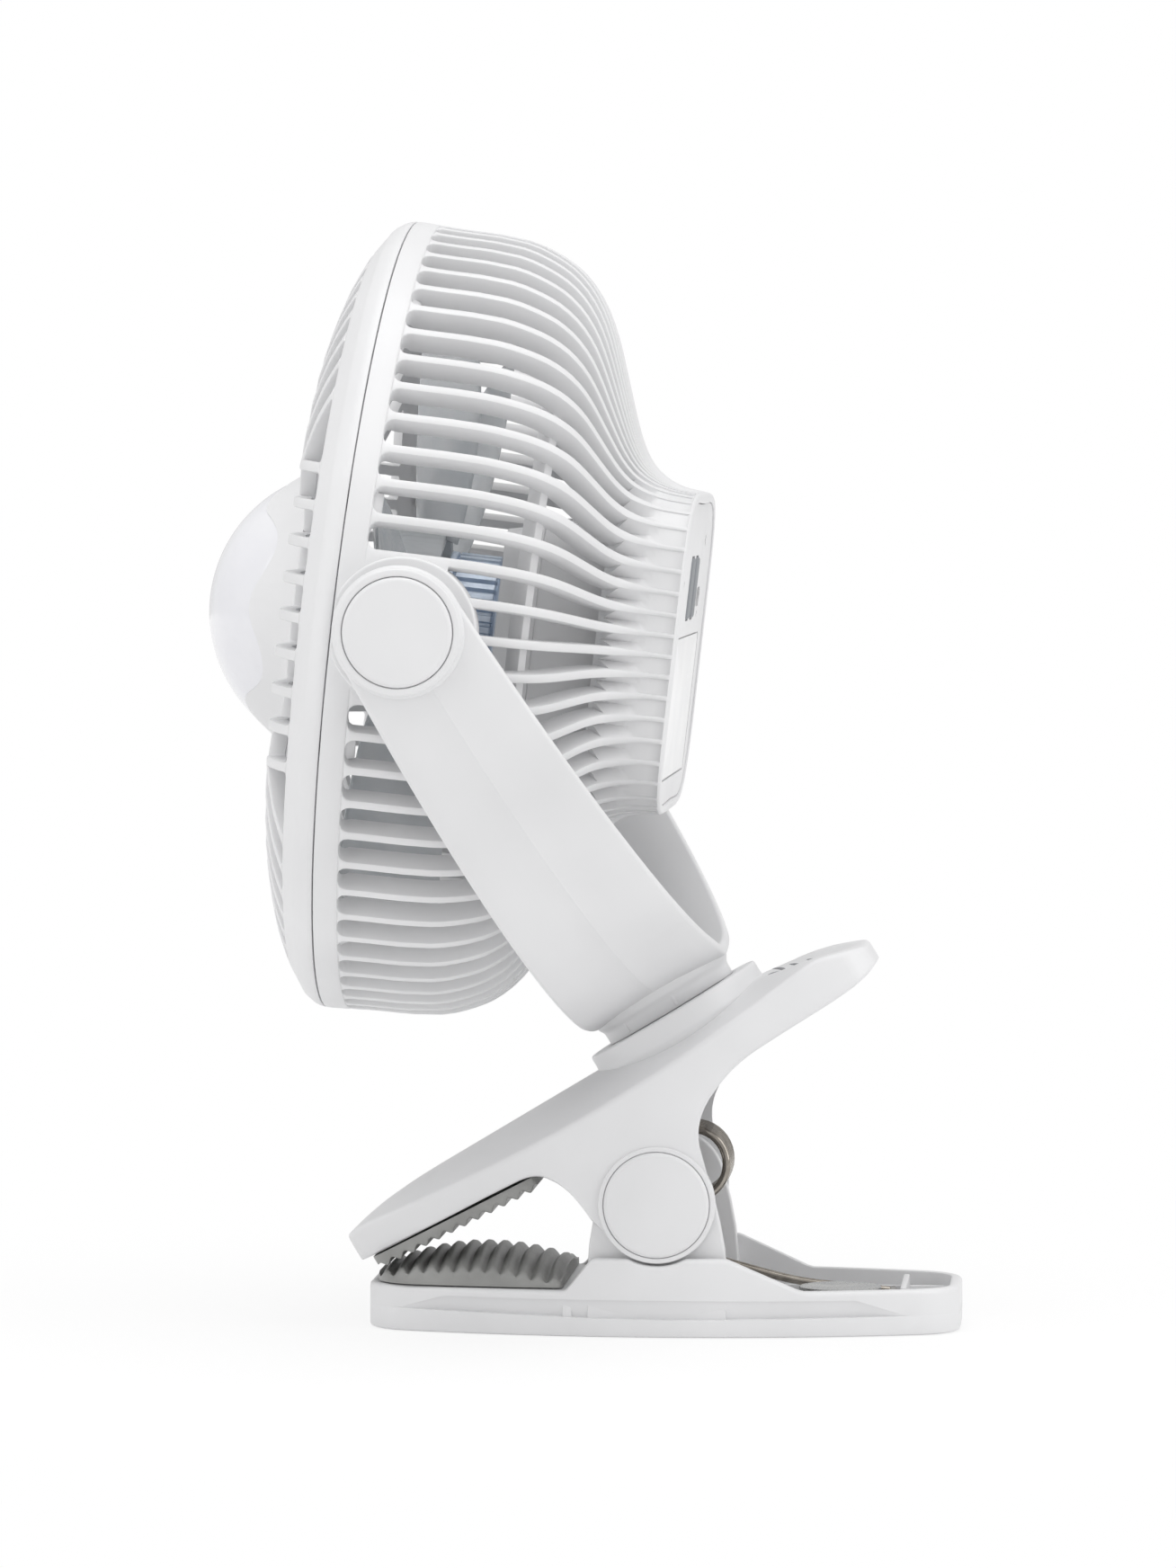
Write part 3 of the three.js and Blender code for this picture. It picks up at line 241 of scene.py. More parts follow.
# subtracts the cutters' chunks from a piece and keeps the result as its mesh
def carve(piece, chunkList, place):
    cutter = meshObject(piece.name + "Cutter", chunkList, place)
    step = piece.modifiers.new("cut", "BOOLEAN")
    step.operation, step.solver, step.object = "DIFFERENCE", "EXACT", cutter
    step.use_self = True
    graph = bpy.context.evaluated_depsgraph_get()
    result = bpy.data.meshes.new_from_object(piece.evaluated_get(graph))
    piece.modifiers.clear()
    piece.data = result
    bpy.data.objects.remove(cutter)


# materials

# sRGB hex to linear
def linearColour(hexText):
    channels = np.array([int(hexText[i:i + 2], 16) / 255 for i in (1, 3, 5)])
    linear = np.where(channels <= 0.04045, channels / 12.92, ((channels + 0.055) / 1.055) ** 2.4)
    return (*linear.tolist(), 1.0)


# adds a node with its socket values, its links and its own settings
def addNode(tree, kind, values=None, links=None, **settings):
    node = tree.nodes.new(kind)
    for name, value in settings.items():
        setattr(node, name, value)
    for name, value in (values or {}).items():
        node.inputs[name].default_value = value
    for name, source in (links or {}).items():
        tree.links.new(source, node.inputs[name])
    return node


def perMetre(millimetres):
    return 1.0 / (millimetres * mm)


# Moulded or machined surface: broad unevenness of colour over blotch mm, fine grain of grain mm in
# roughness and bump. Uniform values sit on the shader's own sockets.
def surface(name, main, other, rough, spread, grain, depth, blotch=35.0, stretch=(1, 1, 1), **sockets):
    material = bpy.data.materials.new(name)
    material.use_nodes = True
    tree = material.node_tree
    tree.nodes.clear()
    place = addNode(tree, "ShaderNodeTexCoord").outputs["Object"]
    along = addNode(tree, "ShaderNodeMapping", {"Scale": stretch}, {"Vector": place}).outputs["Vector"]
    broad = addNode(tree, "ShaderNodeTexNoise", {"Scale": perMetre(blotch), "Detail": 2.0}, {"Vector": place})
    fine = addNode(tree, "ShaderNodeTexNoise", {"Scale": perMetre(grain), "Detail": 3.0, "Roughness": 0.6},
                   {"Vector": along})
    tone = addNode(tree, "ShaderNodeMapRange", {"From Min": 0.35, "From Max": 0.65},
                   {"Value": broad.outputs["Fac"]}).outputs["Result"]
    colour = addNode(tree, "ShaderNodeMix", {6: linearColour(main), 7: linearColour(other)}, {0: tone},
                     data_type="RGBA").outputs[2]
    roughness = addNode(tree, "ShaderNodeMapRange",
                        {"From Min": 0.3, "From Max": 0.7, "To Min": rough - spread, "To Max": rough + spread},
                        {"Value": fine.outputs["Fac"]}).outputs["Result"]
    bump = addNode(tree, "ShaderNodeBump", {"Strength": 1.0, "Distance": depth * mm},
                   {"Height": fine.outputs["Fac"]}).outputs["Normal"]
    shader = addNode(tree, "ShaderNodeBsdfPrincipled", sockets,
                     {"Base Color": colour, "Roughness": roughness, "Normal": bump})
    addNode(tree, "ShaderNodeOutputMaterial", links={"Surface": shader.outputs["BSDF"]})
    return material


# satin ABS, injection moulded against a finely etched tool: soft sheen, grain of a third of a millimetre
absSatin = surface("absSatinWhite", "#E2E2E3", "#DDDDDE", 0.42, 0.05, 0.35, 0.006, IOR=1.53)
# gloss ABS from a polished tool: clear reflections, very slight flow waviness
absGloss = surface("absGlossWhite", "#E9E9EC", "#E4E4E8", 0.10, 0.03, 6.0, 0.004, blotch=18.0, IOR=1.53)
# styrene acrylonitrile blades, milky: a little light comes through
milkyBlade = surface("sanMilkyBlade", "#F0F2F4", "#E8ECEF", 0.22, 0.05, 1.2, 0.006, blotch=12.0, IOR=1.57,
                     **{"Transmission Weight": 0.45})
# thermoplastic rubber moulded against a fine matt tool: grey, with a soft sheen at a low angle
gripRubber = surface("tprGripGrey", "#969694", "#8A8A88", 0.4, 0.08, 0.45, 0.03, blotch=9.0, IOR=1.5)
# darker grey of the grip marks, in the same plastic: painted shade of their grooves
gripMarkShadeGrey = surface("absGripMarkPaintedShade", "#8C8D90", "#848589", 0.55, 0.05, 0.35, 0.006, IOR=1.53)
# grey silicone keys, smooth to the touch
keySilicone = surface("siliconeKeyGrey", "#8B8E92", "#83868A", 0.6, 0.06, 0.3, 0.008, IOR=1.43)
# zinc plated steel: fine scratches round the part
zincSteel = surface("zincPlatedSteel", "#C4C4C2", "#B4B5B6", 0.3, 0.08, 0.5, 0.004, blotch=5.0, Metallic=1.0)
# nickel plated spring wire, drawn: fine lines along the wire
springSteel = surface("nickelSpringWire", "#A29C94", "#8D877F", 0.16, 0.06, 0.25, 0.004, blotch=3.0, Metallic=1.0)
# deep drawn motor can, its steel tinted bluish grey: the bluish tint is painted shade
motorSteelShadeTint = surface("shadeTintedMotorSteel", "#D3DCE8", "#C6D1DF", 0.5, 0.08, 0.6, 0.006, blotch=6.0, Metallic=1.0)
# heat shrunk sleeve of the cells
cellSleeve = surface("pvcCellSleeve", "#3D6EA8", "#356299", 0.28, 0.05, 2.5, 0.01, blotch=14.0, IOR=1.54)
# solder mask over glass laminate: weave of half a millimetre shows faintly
boardMask = surface("solderMaskGreen", "#2F6B45", "#295F3D", 0.32, 0.06, 0.5, 0.01, blotch=8.0, IOR=1.55)
# blank polypropylene label
labelFilm = surface("labelFilmWhite", "#F0F0F0", "#E9E9EA", 0.35, 0.05, 0.6, 0.003, blotch=20.0, IOR=1.49)
# clear lamp tip
lampClear = surface("acrylicLampTip", "#EFEFEF", "#E6E6E6", 0.08, 0.02, 1.5, 0.002, blotch=2.0, IOR=1.49,
                    **{"Transmission Weight": 0.7})
print("materials made")


# rear guard
rearGuard = {
    "slots": 70, "rib": 2.1, "ribDepth": 5.5, "slotStart": 5.5, "corner": 2.0, "edge": 0.5,
    "rimWall": 2.2, "rim": 91.9, "podHalf": (52.0, 37.1), "face": 73.5, "podPower": 5,
    "floorStart": 59.7, "floorEnd": 68.3, "floorDepth": 4.6, "closedSlots": 2, "closedTo": 24.0,
    "section": [
        (0, 91.9), (11.5, 91.3), (19.5, 91.2), (27.9, 90.3), (33.5, 88.2), (38.1, 85.8), (42.2, 82.2),
        (45.7, 77.3), (48.4, 71.6), (50.9, 64.2), (53.5, 56.4), (55.9, 49.3), (59, 43.3), (62.8, 39.8),
        (67.2, 37.8), (73.5, 37.1), (77, 37.1)],
}


# distance from the axis to the rounded-rectangle end: (|sin/a|^p + |cos/b|^p)^(-1/p)
def podEdge(angle):
    across, upright = rearGuard["podHalf"]
    power = rearGuard["podPower"]
    return (np.abs(np.sin(angle) / across) ** power + np.abs(np.cos(angle) / upright) ** power) ** (-1 / power)


# the guard turns from a circle at the rim into the pod's outline as its section falls from rim to pod
def guardRadius(b, angle):
    end = podEdge(angle)
    low = rearGuard["podHalf"][1]
    share = (softLookup(rearGuard["section"], b, 2.2) - low) / (rearGuard["rim"] - low)
    return end + np.clip(share, 0, 1.001) * (rearGuard["rim"] - end)


# direction across the guard's skin in the plane of the axis: (axial part, radial part), outward
def guardNormal(b, angle):
    slope = (guardRadius(b + 0.6, angle) - guardRadius(b - 0.6, angle)) / 1.2
    length = np.hypot(slope, 1)
    return -slope / length, 1 / length


# rounded-edge drop at a distance from an edge: a quarter circle of the given radius
def edgeDrop(distance, radius):
    inside = np.clip(radius - distance, 0, radius)
    return radius - np.sqrt(radius ** 2 - inside ** 2)


def polar(radius, b, angle):
    return np.stack(np.broadcast_arrays(radius * np.sin(angle), b, radius * np.cos(angle)), -1)


# the slotted skin: seven columns to a slot pitch, six of them across the rib with its rounded edges
def rearGuardSkin():
    g = rearGuard
    edge, corner, start = g["edge"], g["corner"], g["slotStart"]
    b = np.concatenate([
        [0, 0.08, 0.25, 2.6, start - edge, start - 0.3 * edge], start + corner * (1 - np.cos(np.radians([0, 30, 60, 90]))),
        [10, 13, 16.5, 20, 23.9, 24.1, 26.6, 29.6, 31.8, 34, 36, 38, 40, 42, 43.8, 45.5, 47, 48.4, 49.7, 50.9, 52.2, 53.5,
         54.7, 55.9, 57.3, 58.6, 59.69], np.linspace(g["floorStart"], g["floorEnd"], 7), [70.2, 72.2]])
    pitch = 2 * np.pi / g["slots"]
    cell = np.repeat(np.arange(g["slots"]), 7)[None, :]
    kind = np.tile(np.arange(7), g["slots"])[None, :]
    ribAngle = pitch * (cell + 0.5)
    rows = b[:, None]
    half = pitch / 2 * guardRadius(rows, ribAngle)
    fade = np.clip((rows - g["floorStart"]) / (g["floorEnd"] - g["floorStart"]), 0, 1)
    slotHalf = half - g["rib"] / 2 * (1 - 0.45 * fade)
    fromCorner = np.clip(start + corner - rows, 0, corner)
    ribHalf = half - (slotHalf - corner + np.sqrt(corner ** 2 - fromCorner ** 2))
    across = np.choose(kind, [-ribHalf, -ribHalf + 0.3 * edge, -ribHalf + edge, ribHalf - edge,
                              ribHalf - 0.3 * edge, ribHalf, half])
    angle = ribAngle + across / guardRadius(rows, ribAngle)
    qx = half - np.abs(across) - (slotHalf - corner)
    qy = start + corner - rows
    distance = np.hypot(np.maximum(qx, 0), np.maximum(qy, 0)) + np.minimum(np.maximum(qx, qy), 0) - corner
    slotOnRight = (cell + 1) % g["slots"]
    slotOnLeft = cell % g["slots"]
    nearest = np.where(kind >= 3, slotOnRight, slotOnLeft)
    fromSide = np.abs(nearest % (g["slots"] / 2) - g["slots"] / 4)
    shut = (fromSide < g["closedSlots"]) & (rows < g["closedTo"])
    drop = np.where(shut, 0, edgeDrop(np.maximum(distance, 0), edge))
    drop += np.where(rows < 0.25, edgeDrop(rows * np.ones_like(drop), 0.25), 0)
    drop -= np.where(shut & (rows > 0.3), 0.12, 0)
    floor = g["floorDepth"] * (1 - fade) ** 1.6 * (rows > g["floorStart"] - 0.001)
    drop += np.where((kind == 6) & ~shut & (rows > 59), floor, 0)
    ribWall = np.clip(g["rimWall"] + (rows - start + 1.2) * 1.1, g["rimWall"], g["ribDepth"])
    wall = np.where(kind == 6, g["rimWall"], ribWall)
    wall = np.where(rows >= g["floorStart"] - 0.001, floor + 2.2, wall)
    axial, radial = guardNormal(rows, ribAngle)
    radius = guardRadius(rows, angle)
    outer = polar(radius - drop * radial, rows - drop * axial, angle)
    inner = polar(radius - wall * radial, np.where(rows < 3, rows, rows - wall * axial), angle)
    # rounded edge and narrow flat ring of the rear face
    for back, inset in ((72.8, 0.06), (73.2, 0.36), (73.42, 0.85), (g["face"], 1.6), (g["face"], 2.3), (73.3, 2.55), (71.1, 2.6)):
        outer = np.concatenate([outer, polar(guardRadius(g["face"], angle[-1:]) - inset, back, angle[-1:])])
        inner = np.concatenate([inner, polar(guardRadius(g["face"], angle[-1:]) - 2.9, min(back, 71.1), angle[-1:])])
    closed = np.ones((len(outer) - 1, outer.shape[1]), bool)
    middle = (b[:-1] + b[1:]) / 2
    openRow = (middle > start) & (middle < g["floorStart"] - 0.002)
    slotCell = (kind[0] >= 5)
    shutCell = (np.abs(np.where(kind[0] >= 3, slotOnRight[0], slotOnLeft[0]) % (g["slots"] / 2) - g["slots"] / 4)
                < g["closedSlots"])
    closed[:len(middle)] = ~(openRow[:, None] & slotCell[None]) | (
        (shutCell & slotCell)[None] & (middle < g["closedTo"])[:, None])
    return shellChunk(outer, inner, closed)


# hoop that joins the ribs inside the guard: a small rectangle that follows the guard's outline
def ribHoop():
    angle = np.linspace(0, 2 * np.pi, 280, endpoint=False)[None, :]
    section = rounded([(5.0, -1.2), (9.2, -1.2), (9.2, 1.2), (5.0, 1.2)], 0.35, 2, closed=True)
    at = 45.5
    axial, radial = guardNormal(np.full_like(angle, at), angle)
    inward, along = section[:, :1], section[:, 1:]
    radius = guardRadius(at, angle) - inward * radial + along * axial
    return gridChunk(polar(radius, at - inward * axial - along * radial, angle + 0 * radius), wrapRows=True)


# round plate and bearing boss at each tilt screw
def tiltPlate(side):
    plate = rounded([(2.95, 84.5), (16.5, 84.5), (16.5, 92.35), (12.0, 92.35), (12.0, 95.2), (2.95, 95.2)],
                    (0, 0.5, 0.7, 0.5, 0.6, 0), 4)
    chunk = lathe(np.vstack([plate, plate[:1]]), 96, "x", centre=(0, tiltSettings["seamToTilt"], 0))
    points, faces = chunk
    points = points.copy()
    points[:, 1] = np.maximum(points[:, 1], 0.5)
    chunk = (points, faces)
    return chunk if side > 0 else mirrored(chunk)


guardPiece = meshObject("slottedRearGuard", [rearGuardSkin(), ribHoop(), tiltPlate(1), tiltPlate(-1)], headFrame)
finishPiece(guardPiece, absSatin, "head", ["rear_housing"], 38)
print("rear guard made:", len(guardPiece.data.polygons), "faces")


# rear panel with its keys, port, lamp and label
rearPanel = {"back": 73.0, "front": 71.15, "keys": (15.0, 0.0), "keyHeight": 15.0, "keyHalf": (5.35, 7.15),
             "port": (-18.0, 12.6), "lamp": (-24.0, 25.7), "labelHalf": (38.0, 16.5), "labelHeight": -12.5,
             "pinHoles": ((-20.0, 8.6), (38.6, 16.3))}


def panelOutline(inset):
    turn = np.linspace(0, 2 * np.pi, 240, endpoint=False)
    radius = podEdge(turn) - inset
    return np.stack([radius * np.sin(turn), radius * np.cos(turn)], -1)


panel = meshObject("rearPanel", [puck(panelOutline(2.68), rearPanel["front"], rearPanel["back"], 0.18, 2, "y")], headFrame)
cutters = [puck(roundedRectangle(5.7, 7.5, 1.8, (x, rearPanel["keyHeight"])), 68, 75, 0.1, 2, "y") for x in rearPanel["keys"]]
cutters.append(puck(roundedRectangle(5.6, 2.3, 2.2, rearPanel["port"]), 68, 75, 0.1, 2, "y"))
cutters.append(puck(arc(rearPanel["lamp"], 1.45, 0, 345, 23), 68, 75, 0.1, 2, "y"))
cutters.append(puck(roundedRectangle(*rearPanel["labelHalf"], 2.0, (0, rearPanel["labelHeight"])), 72.3, 75, 0.1, 2, "y"))
cutters += [puck(arc(hole, 0.8, 0, 345, 15), 71.8, 75, 0.1, 2, "y") for hole in rearPanel["pinHoles"]]
carve(panel, cutters, headFrame)
finishPiece(panel, absSatin, "head", (), 30)


# a key: flat top with a rounded edge, and the flange behind the panel
def keyPiece(name, x, body):
    outline = roundedRectangle(*rearPanel["keyHalf"], 1.5, (x, rearPanel["keyHeight"]), 8)
    flange = roundedRectangle(6.4, 8.2, 1.4, (x, rearPanel["keyHeight"]), 4)
    piece = meshObject(name, [puck(outline, 69.4, 73.4, 0.7, 5, "y"), puck(flange, 69.1, 70.7, 0.3, 2, "y")], headFrame)
    node = {"powerKey": "power_button", "speedKey": "speed_button"}[name]
    return finishPiece(piece, keySilicone, body, [node], 40)


keyPiece("powerKey", rearPanel["keys"][0], "power_key")
keyPiece("speedKey", rearPanel["keys"][1], "speed_key")
labelOutline = roundedRectangle(37.6, 16.1, 1.8, (0, rearPanel["labelHeight"]), 6)
label = meshObject("blankLabel", [puck(labelOutline, 72.5, 72.9, 0.1, 2, "y")], headFrame)
finishPiece(label, labelFilm, "head", ["rating_label"])
lampTip = rounded([(0, 71.0), (1.2, 71.0), (1.2, 72.4), (0, 72.95)], (0, 0.1, 0.6, 0), 4)
lamp = meshObject("chargeLampTip", [lathe(lampTip, 28, "y", centre=(rearPanel["lamp"][0], 0, rearPanel["lamp"][1]))], headFrame)
finishPiece(lamp, lampClear, "head", ["charge_lamp"])
print("rear panel made")


# front grille and dome
frontGrille = {
    "sectors": 6, "pitch": 8.4, "rib": 2.4, "edge": 0.5, "corner": 1.0, "innerCorner": 0.8, "slotOuter": 84.5, "slotInner": 36.0,
    "lobes": 6, "lobeRise": 2.4, "lobeAt": 24.2,
    "wall": [(30, 2.0), (36, 2.4), (40, 3.6), (80, 3.8), (84.5, 3.0), (86, 2.6)],
    "section": [
        (91.86, 0), (91.6, 2.2), (89.3, 4.9), (83.7, 8.8), (78, 11.5), (73, 13.2), (67, 14.9), (60, 15.6), (53, 15.75), (44, 15.65),
        (36, 15.5), (33, 15.5)],
}
dome = {"radius": 33.25, "centre": 5.5, "lip": 66, "wall": 2.2}


# the grille's section by its length along the profile, softened, as (radius, distance in front of the seam)
def grilleSection(length):
    corners = np.array(frontGrille["section"], float)
    run = np.concatenate([[0], np.cumsum(np.linalg.norm(np.diff(corners, axis=0), axis=1))])
    radius = softLookup(np.stack([run, corners[:, 0]], -1), length, 1.6)
    front = softLookup(np.stack([run, corners[:, 1]], -1), length, 1.6)
    return radius, front


# length along the profile at a radius inside the rim
def lengthAt(radius):
    fine = np.linspace(2.2, 75, 1500)
    return np.interp(-np.asarray(radius, float), -grilleSection(fine)[0], fine)


# Points of both skins. Length runs along the profile, drop is the rounding of an edge, and the back of
# the rim is flat: outer = section - drop * normal, inner = section - wall * normal.
def grillePoints(length, angle, drop):
    radius, front = grilleSection(length)
    ahead = np.stack(grilleSection(length + 0.5)) - np.stack(grilleSection(length - 0.5))
    ahead /= np.linalg.norm(ahead, axis=0)
    radialPart, frontPart = ahead[1], -ahead[0]
    wall = np.interp(radius, *np.array(frontGrille["wall"]).T)
    outer = polar(radius - drop * radialPart, -(front - drop * frontPart), angle)
    innerFront = np.where(length < 2.5, front, front - wall * frontPart)
    return outer, polar(radius - wall * radialPart, -innerFront, angle)


# Distance from the edge of a slot with rounded corners, measured into the material. Beside is the
# distance past the slot's side, beyond the distance past its end.
def slotDistance(beside, beyond, corner):
    x, y = beside + corner, beyond + corner
    return np.hypot(np.maximum(x, 0), np.maximum(y, 0)) + np.minimum(np.maximum(x, y), 0) - corner


# places of one rib's six columns across it, as (side, distance from its edge)
def ribColumns():
    edge = frontGrille["edge"]
    return np.array([-1, -1, -1, 1, 1, 1]), np.array([0, 0.3 * edge, edge, edge, 0.3 * edge, 0])


# walls between two skins along chosen cells of a grid's borders
def plateChunk(outer, inner, firstRow=None, lastRow=None, sides=False, wrap=False):
    rows, columns = outer.shape[:2]
    index = np.arange(rows * columns).reshape(rows, columns)
    if wrap:
        index = np.hstack([index, index[:, :1]])
    count = rows * columns
    skin = np.stack([index[:-1, :-1], index[:-1, 1:], index[1:, 1:], index[1:, :-1]], -1).reshape(-1, 4)
    faces = [skin, skin[:, ::-1] + count]
    for line, chosen in ((index[0], firstRow), (index[-1], lastRow)):
        if chosen is not None:
            faces.append(np.stack([line[:-1], line[1:], line[1:] + count, line[:-1] + count], -1)[chosen])
    if sides:
        for line in (index[:, 0], index[:, -1]):
            faces.append(np.stack([line[:-1], line[1:], line[1:] + count, line[:-1] + count], -1))
    return np.concatenate([outer.reshape(-1, 3), inner.reshape(-1, 3)]), np.concatenate(faces)


# One rib of a sector, number n from the middle. It runs along the sector's axis at offset q from
# p = sqrt(R^2 - q^2) in to the skirt's circle, or for |n| > 2 to the sector's edge at p = |q| tan 60.
def frontRib(n, sector):
    g = frontGrille
    half = g["rib"] / 2
    side, fromEdge = ribColumns()
    outerSteps = g["corner"] * (1 - np.cos(np.radians([0, 25, 50, 72, 90])))
    innerSteps = g["innerCorner"] * (1 - np.cos(np.radians([90, 60, 30, 0])))
    middle = np.linspace(0, 1, 18)[1:-1]
    free = abs(n) > 2
    toEnd = np.concatenate([outerSteps, np.full(len(middle) + 4, 9.0)])[:, None]
    toInner = np.concatenate([np.full(len(middle) + 5, 9.0), innerSteps])[:, None]
    flareOut = g["corner"] - np.sqrt(g["corner"] ** 2 - np.clip(g["corner"] - toEnd, 0, None) ** 2)
    flareIn = g["innerCorner"] - np.sqrt(g["innerCorner"] ** 2 - np.clip(g["innerCorner"] - toInner, 0, None) ** 2)
    keepsLine = free | ((abs(n) == 2) & (side == np.sign(n)))
    flareIn = np.where(keepsLine, 0, flareIn + 0 * side)
    q = n * g["pitch"] + side * (half + flareOut + flareIn - fromEdge)
    farthest = np.sqrt(g["slotOuter"] ** 2 - q ** 2)
    nearest = np.abs(q) * math.sqrt(3) if free else np.sqrt(g["slotInner"] ** 2 - q ** 2)
    share = np.concatenate([np.zeros(5), middle, np.ones(4)])[:, None]
    start = farthest - np.concatenate([outerSteps, np.full(len(middle) + 4, g["corner"])])[:, None]
    end = nearest + np.concatenate([np.full(len(middle) + 5, g["innerCorner"]), innerSteps])[:, None]
    p = start * (1 - share) + end * share
    beside = half - np.abs(q - n * g["pitch"])
    outEnd = slotDistance(beside, p - farthest, g["corner"])
    inEnd = slotDistance(beside, nearest - p, g["innerCorner"])
    distance = np.where(share < 0.5, outEnd, np.where(keepsLine, beside, inEnd))
    drop = edgeDrop(np.maximum(distance, 0), g["edge"])
    radius = np.hypot(p, q)
    outer, inner = grillePoints(lengthAt(radius), sector + np.arctan2(q, p), drop)
    return plateChunk(outer, inner, sides=True)


# offsets of all columns along one sector's arc, and how far each lies beside its slot
def arcColumns(count, corner, keepsLine):
    g = frontGrille
    half = g["rib"] / 2
    side, fromEdge = ribColumns()
    offsets, beside, slotStarts = [], [], []
    for n in range(-count, count + 1):
        flare = np.where(keepsLine & (abs(n) == count) & (side == np.sign(n)), 0, corner)
        q = n * g["pitch"] + side * (half + flare - fromEdge)
        offsets += q.tolist()
        beside += (half - np.abs(q - n * g["pitch"])).tolist()
        if n < count:
            slotStarts += [len(offsets) - 1, len(offsets)]
            offsets.append((n + 0.5) * g["pitch"])
            beside.append(half - g["pitch"] / 2)
    return np.array(offsets), np.array(beside), slotStarts


# rim: from the outer ends of the slots to the seam, with a soft raised line round it
def grilleRim():
    g = frontGrille
    q, beside, slotStarts = arcColumns(4, g["corner"], False)
    last = g["slotOuter"] / 2
    between = np.linspace(q[-1], last, 4)[1:-1]
    q = np.concatenate([-between[::-1], q, between, [last]])
    beside = np.concatenate([[-3, -3], beside, [-3, -3, -3]])
    slots = np.zeros(len(q), bool)
    slots[[k + 2 for k in slotStarts]] = True
    slots[[0, 1, -1, -2, -3, -4]] = True
    turns = np.arange(g["sectors"])[:, None] * np.pi / 3 + np.radians(30)
    angle = (turns + np.arcsin(q / g["slotOuter"])[None]).reshape(1, -1)
    start = float(lengthAt(g["slotOuter"]))
    edge = g["edge"]
    length = np.array([start, start - 0.3 * edge, start - edge, start - 1.4, 9.2, 7.6, 6.4, 5.6, 4.8, 3.8, 2.6, 1.4, 0.25, 0.08, 0])[:, None]
    distance = slotDistance(np.tile(beside, g["sectors"])[None], start - length, g["corner"])
    drop = edgeDrop(np.maximum(distance, 0), edge) - 0.2 * np.exp(-((length - 5.1) / 0.75) ** 2)
    drop += edgeDrop(np.minimum(length, 0.25), 0.25)
    outer, inner = grillePoints(length + 0 * angle, angle + 0 * length, drop)
    return plateChunk(outer, inner, np.tile(slots, g["sectors"]), np.ones(angle.size, bool), wrap=True)


# Satin skirt between slots and dome: its edge on the dome swings in and out six times round,
# f(t) = f0 + f1 cos(6 t)
def grilleSkirt():
    g = frontGrille
    q, beside, slotStarts = arcColumns(2, g["innerCorner"], True)
    q, beside = q[:-1], beside[:-1]
    slots = np.zeros(len(q), bool)
    slots[slotStarts] = True
    turns = np.arange(g["sectors"])[:, None] * np.pi / 3 + np.radians(30)
    angle = (turns + np.arcsin(np.clip(q / g["slotInner"], -0.5, 0.5))[None]).reshape(1, -1)
    start = float(lengthAt(g["slotInner"]))
    edge = g["edge"]
    length = np.array([start, start + 0.3 * edge, start + edge])[:, None]
    distance = slotDistance(np.tile(beside, g["sectors"])[None], length - start, g["innerCorner"])
    outer, inner = grillePoints(length + 0 * angle, angle + 0 * length, edgeDrop(np.maximum(distance, 0), edge))
    radius, front = grilleSection(start + edge)
    swing = g["lobeAt"] + g["lobeRise"] * np.cos(g["lobes"] * (angle - np.pi / 2))
    onDome = np.sqrt(dome["radius"] ** 2 - (swing - dome["centre"]) ** 2) + 0.3
    t = np.linspace(0, 1, 12)[1:, None]
    weights = [(1 - t) ** 3, 3 * t * (1 - t) ** 2, 3 * t ** 2 * (1 - t), t ** 3]
    radii = [radius + 0 * angle, radius - 1.6 + 0 * angle, onDome + 2.6, onDome]
    fronts = [front + 0 * angle, front + 0 * angle, swing - 3.4, swing]
    r = sum(w * v for w, v in zip(weights, radii))
    f = sum(w * v for w, v in zip(weights, fronts))
    turn = angle + 0 * r
    outer = np.concatenate([outer, polar(r, -f, turn), polar(onDome - 0.2, -(swing - 0.03), angle), polar(onDome - 0.12, -(swing - 0.7), angle)])
    inner = np.concatenate([inner, polar(r + 0.15, -(f - 2.2), turn), polar(onDome + 0.3, -(swing - 2.0), angle),
                            polar(onDome + 0.3, -(swing - 2.1), angle)])
    return plateChunk(outer, inner, np.tile(slots, g["sectors"]), np.ones(angle.size, bool), wrap=True)


# snap hooks of the grille, seen in every seventh slot of the rear guard
def snapHook(turn):
    outline = rounded([(-2, 86.9), (7.4, 87.4), (7.4, 88.2), (5.6, 89.2), (-2, 89.2)], 0.25, 2, closed=True)
    return moved(puck(outline, -2.3, 2.3, 0.25, 2, "x"), turnAbout("Y", turn))


grilleRibs = [frontRib(n, math.radians(turn)) for turn in range(30, 390, 60) for n in range(-4, 5)]
grille = meshObject("slottedFrontGrille", [grilleRim(), grilleSkirt()] + grilleRibs + [snapHook(36 * k) for k in range(10)], headFrame)
finishPiece(grille, absSatin, "head", ["front_grille"], 38)


def domeProfile():
    turn = np.radians(np.linspace(0, dome["lip"], 40))
    outer = np.stack([dome["radius"] * np.sin(turn), -dome["centre"] - dome["radius"] * np.cos(turn)], -1)
    inside = dome["radius"] - dome["wall"]
    inner = np.stack([inside * np.sin(turn), -dome["centre"] - inside * np.cos(turn)], -1)
    return np.concatenate([outer, inner[::-1]])


glossDome = meshObject("glossDome", [lathe(domeProfile(), 144, "y")], headFrame)
finishPiece(glossDome, absGloss, "head", ["grille_dome"], 50)
print("front grille and dome made")


# rotor, motor and inner tub
rotor = {"blades": 5, "hub": 22.0, "tip": 80.0, "middle": 12.5, "thickness": 1.5, "knurls": 64}


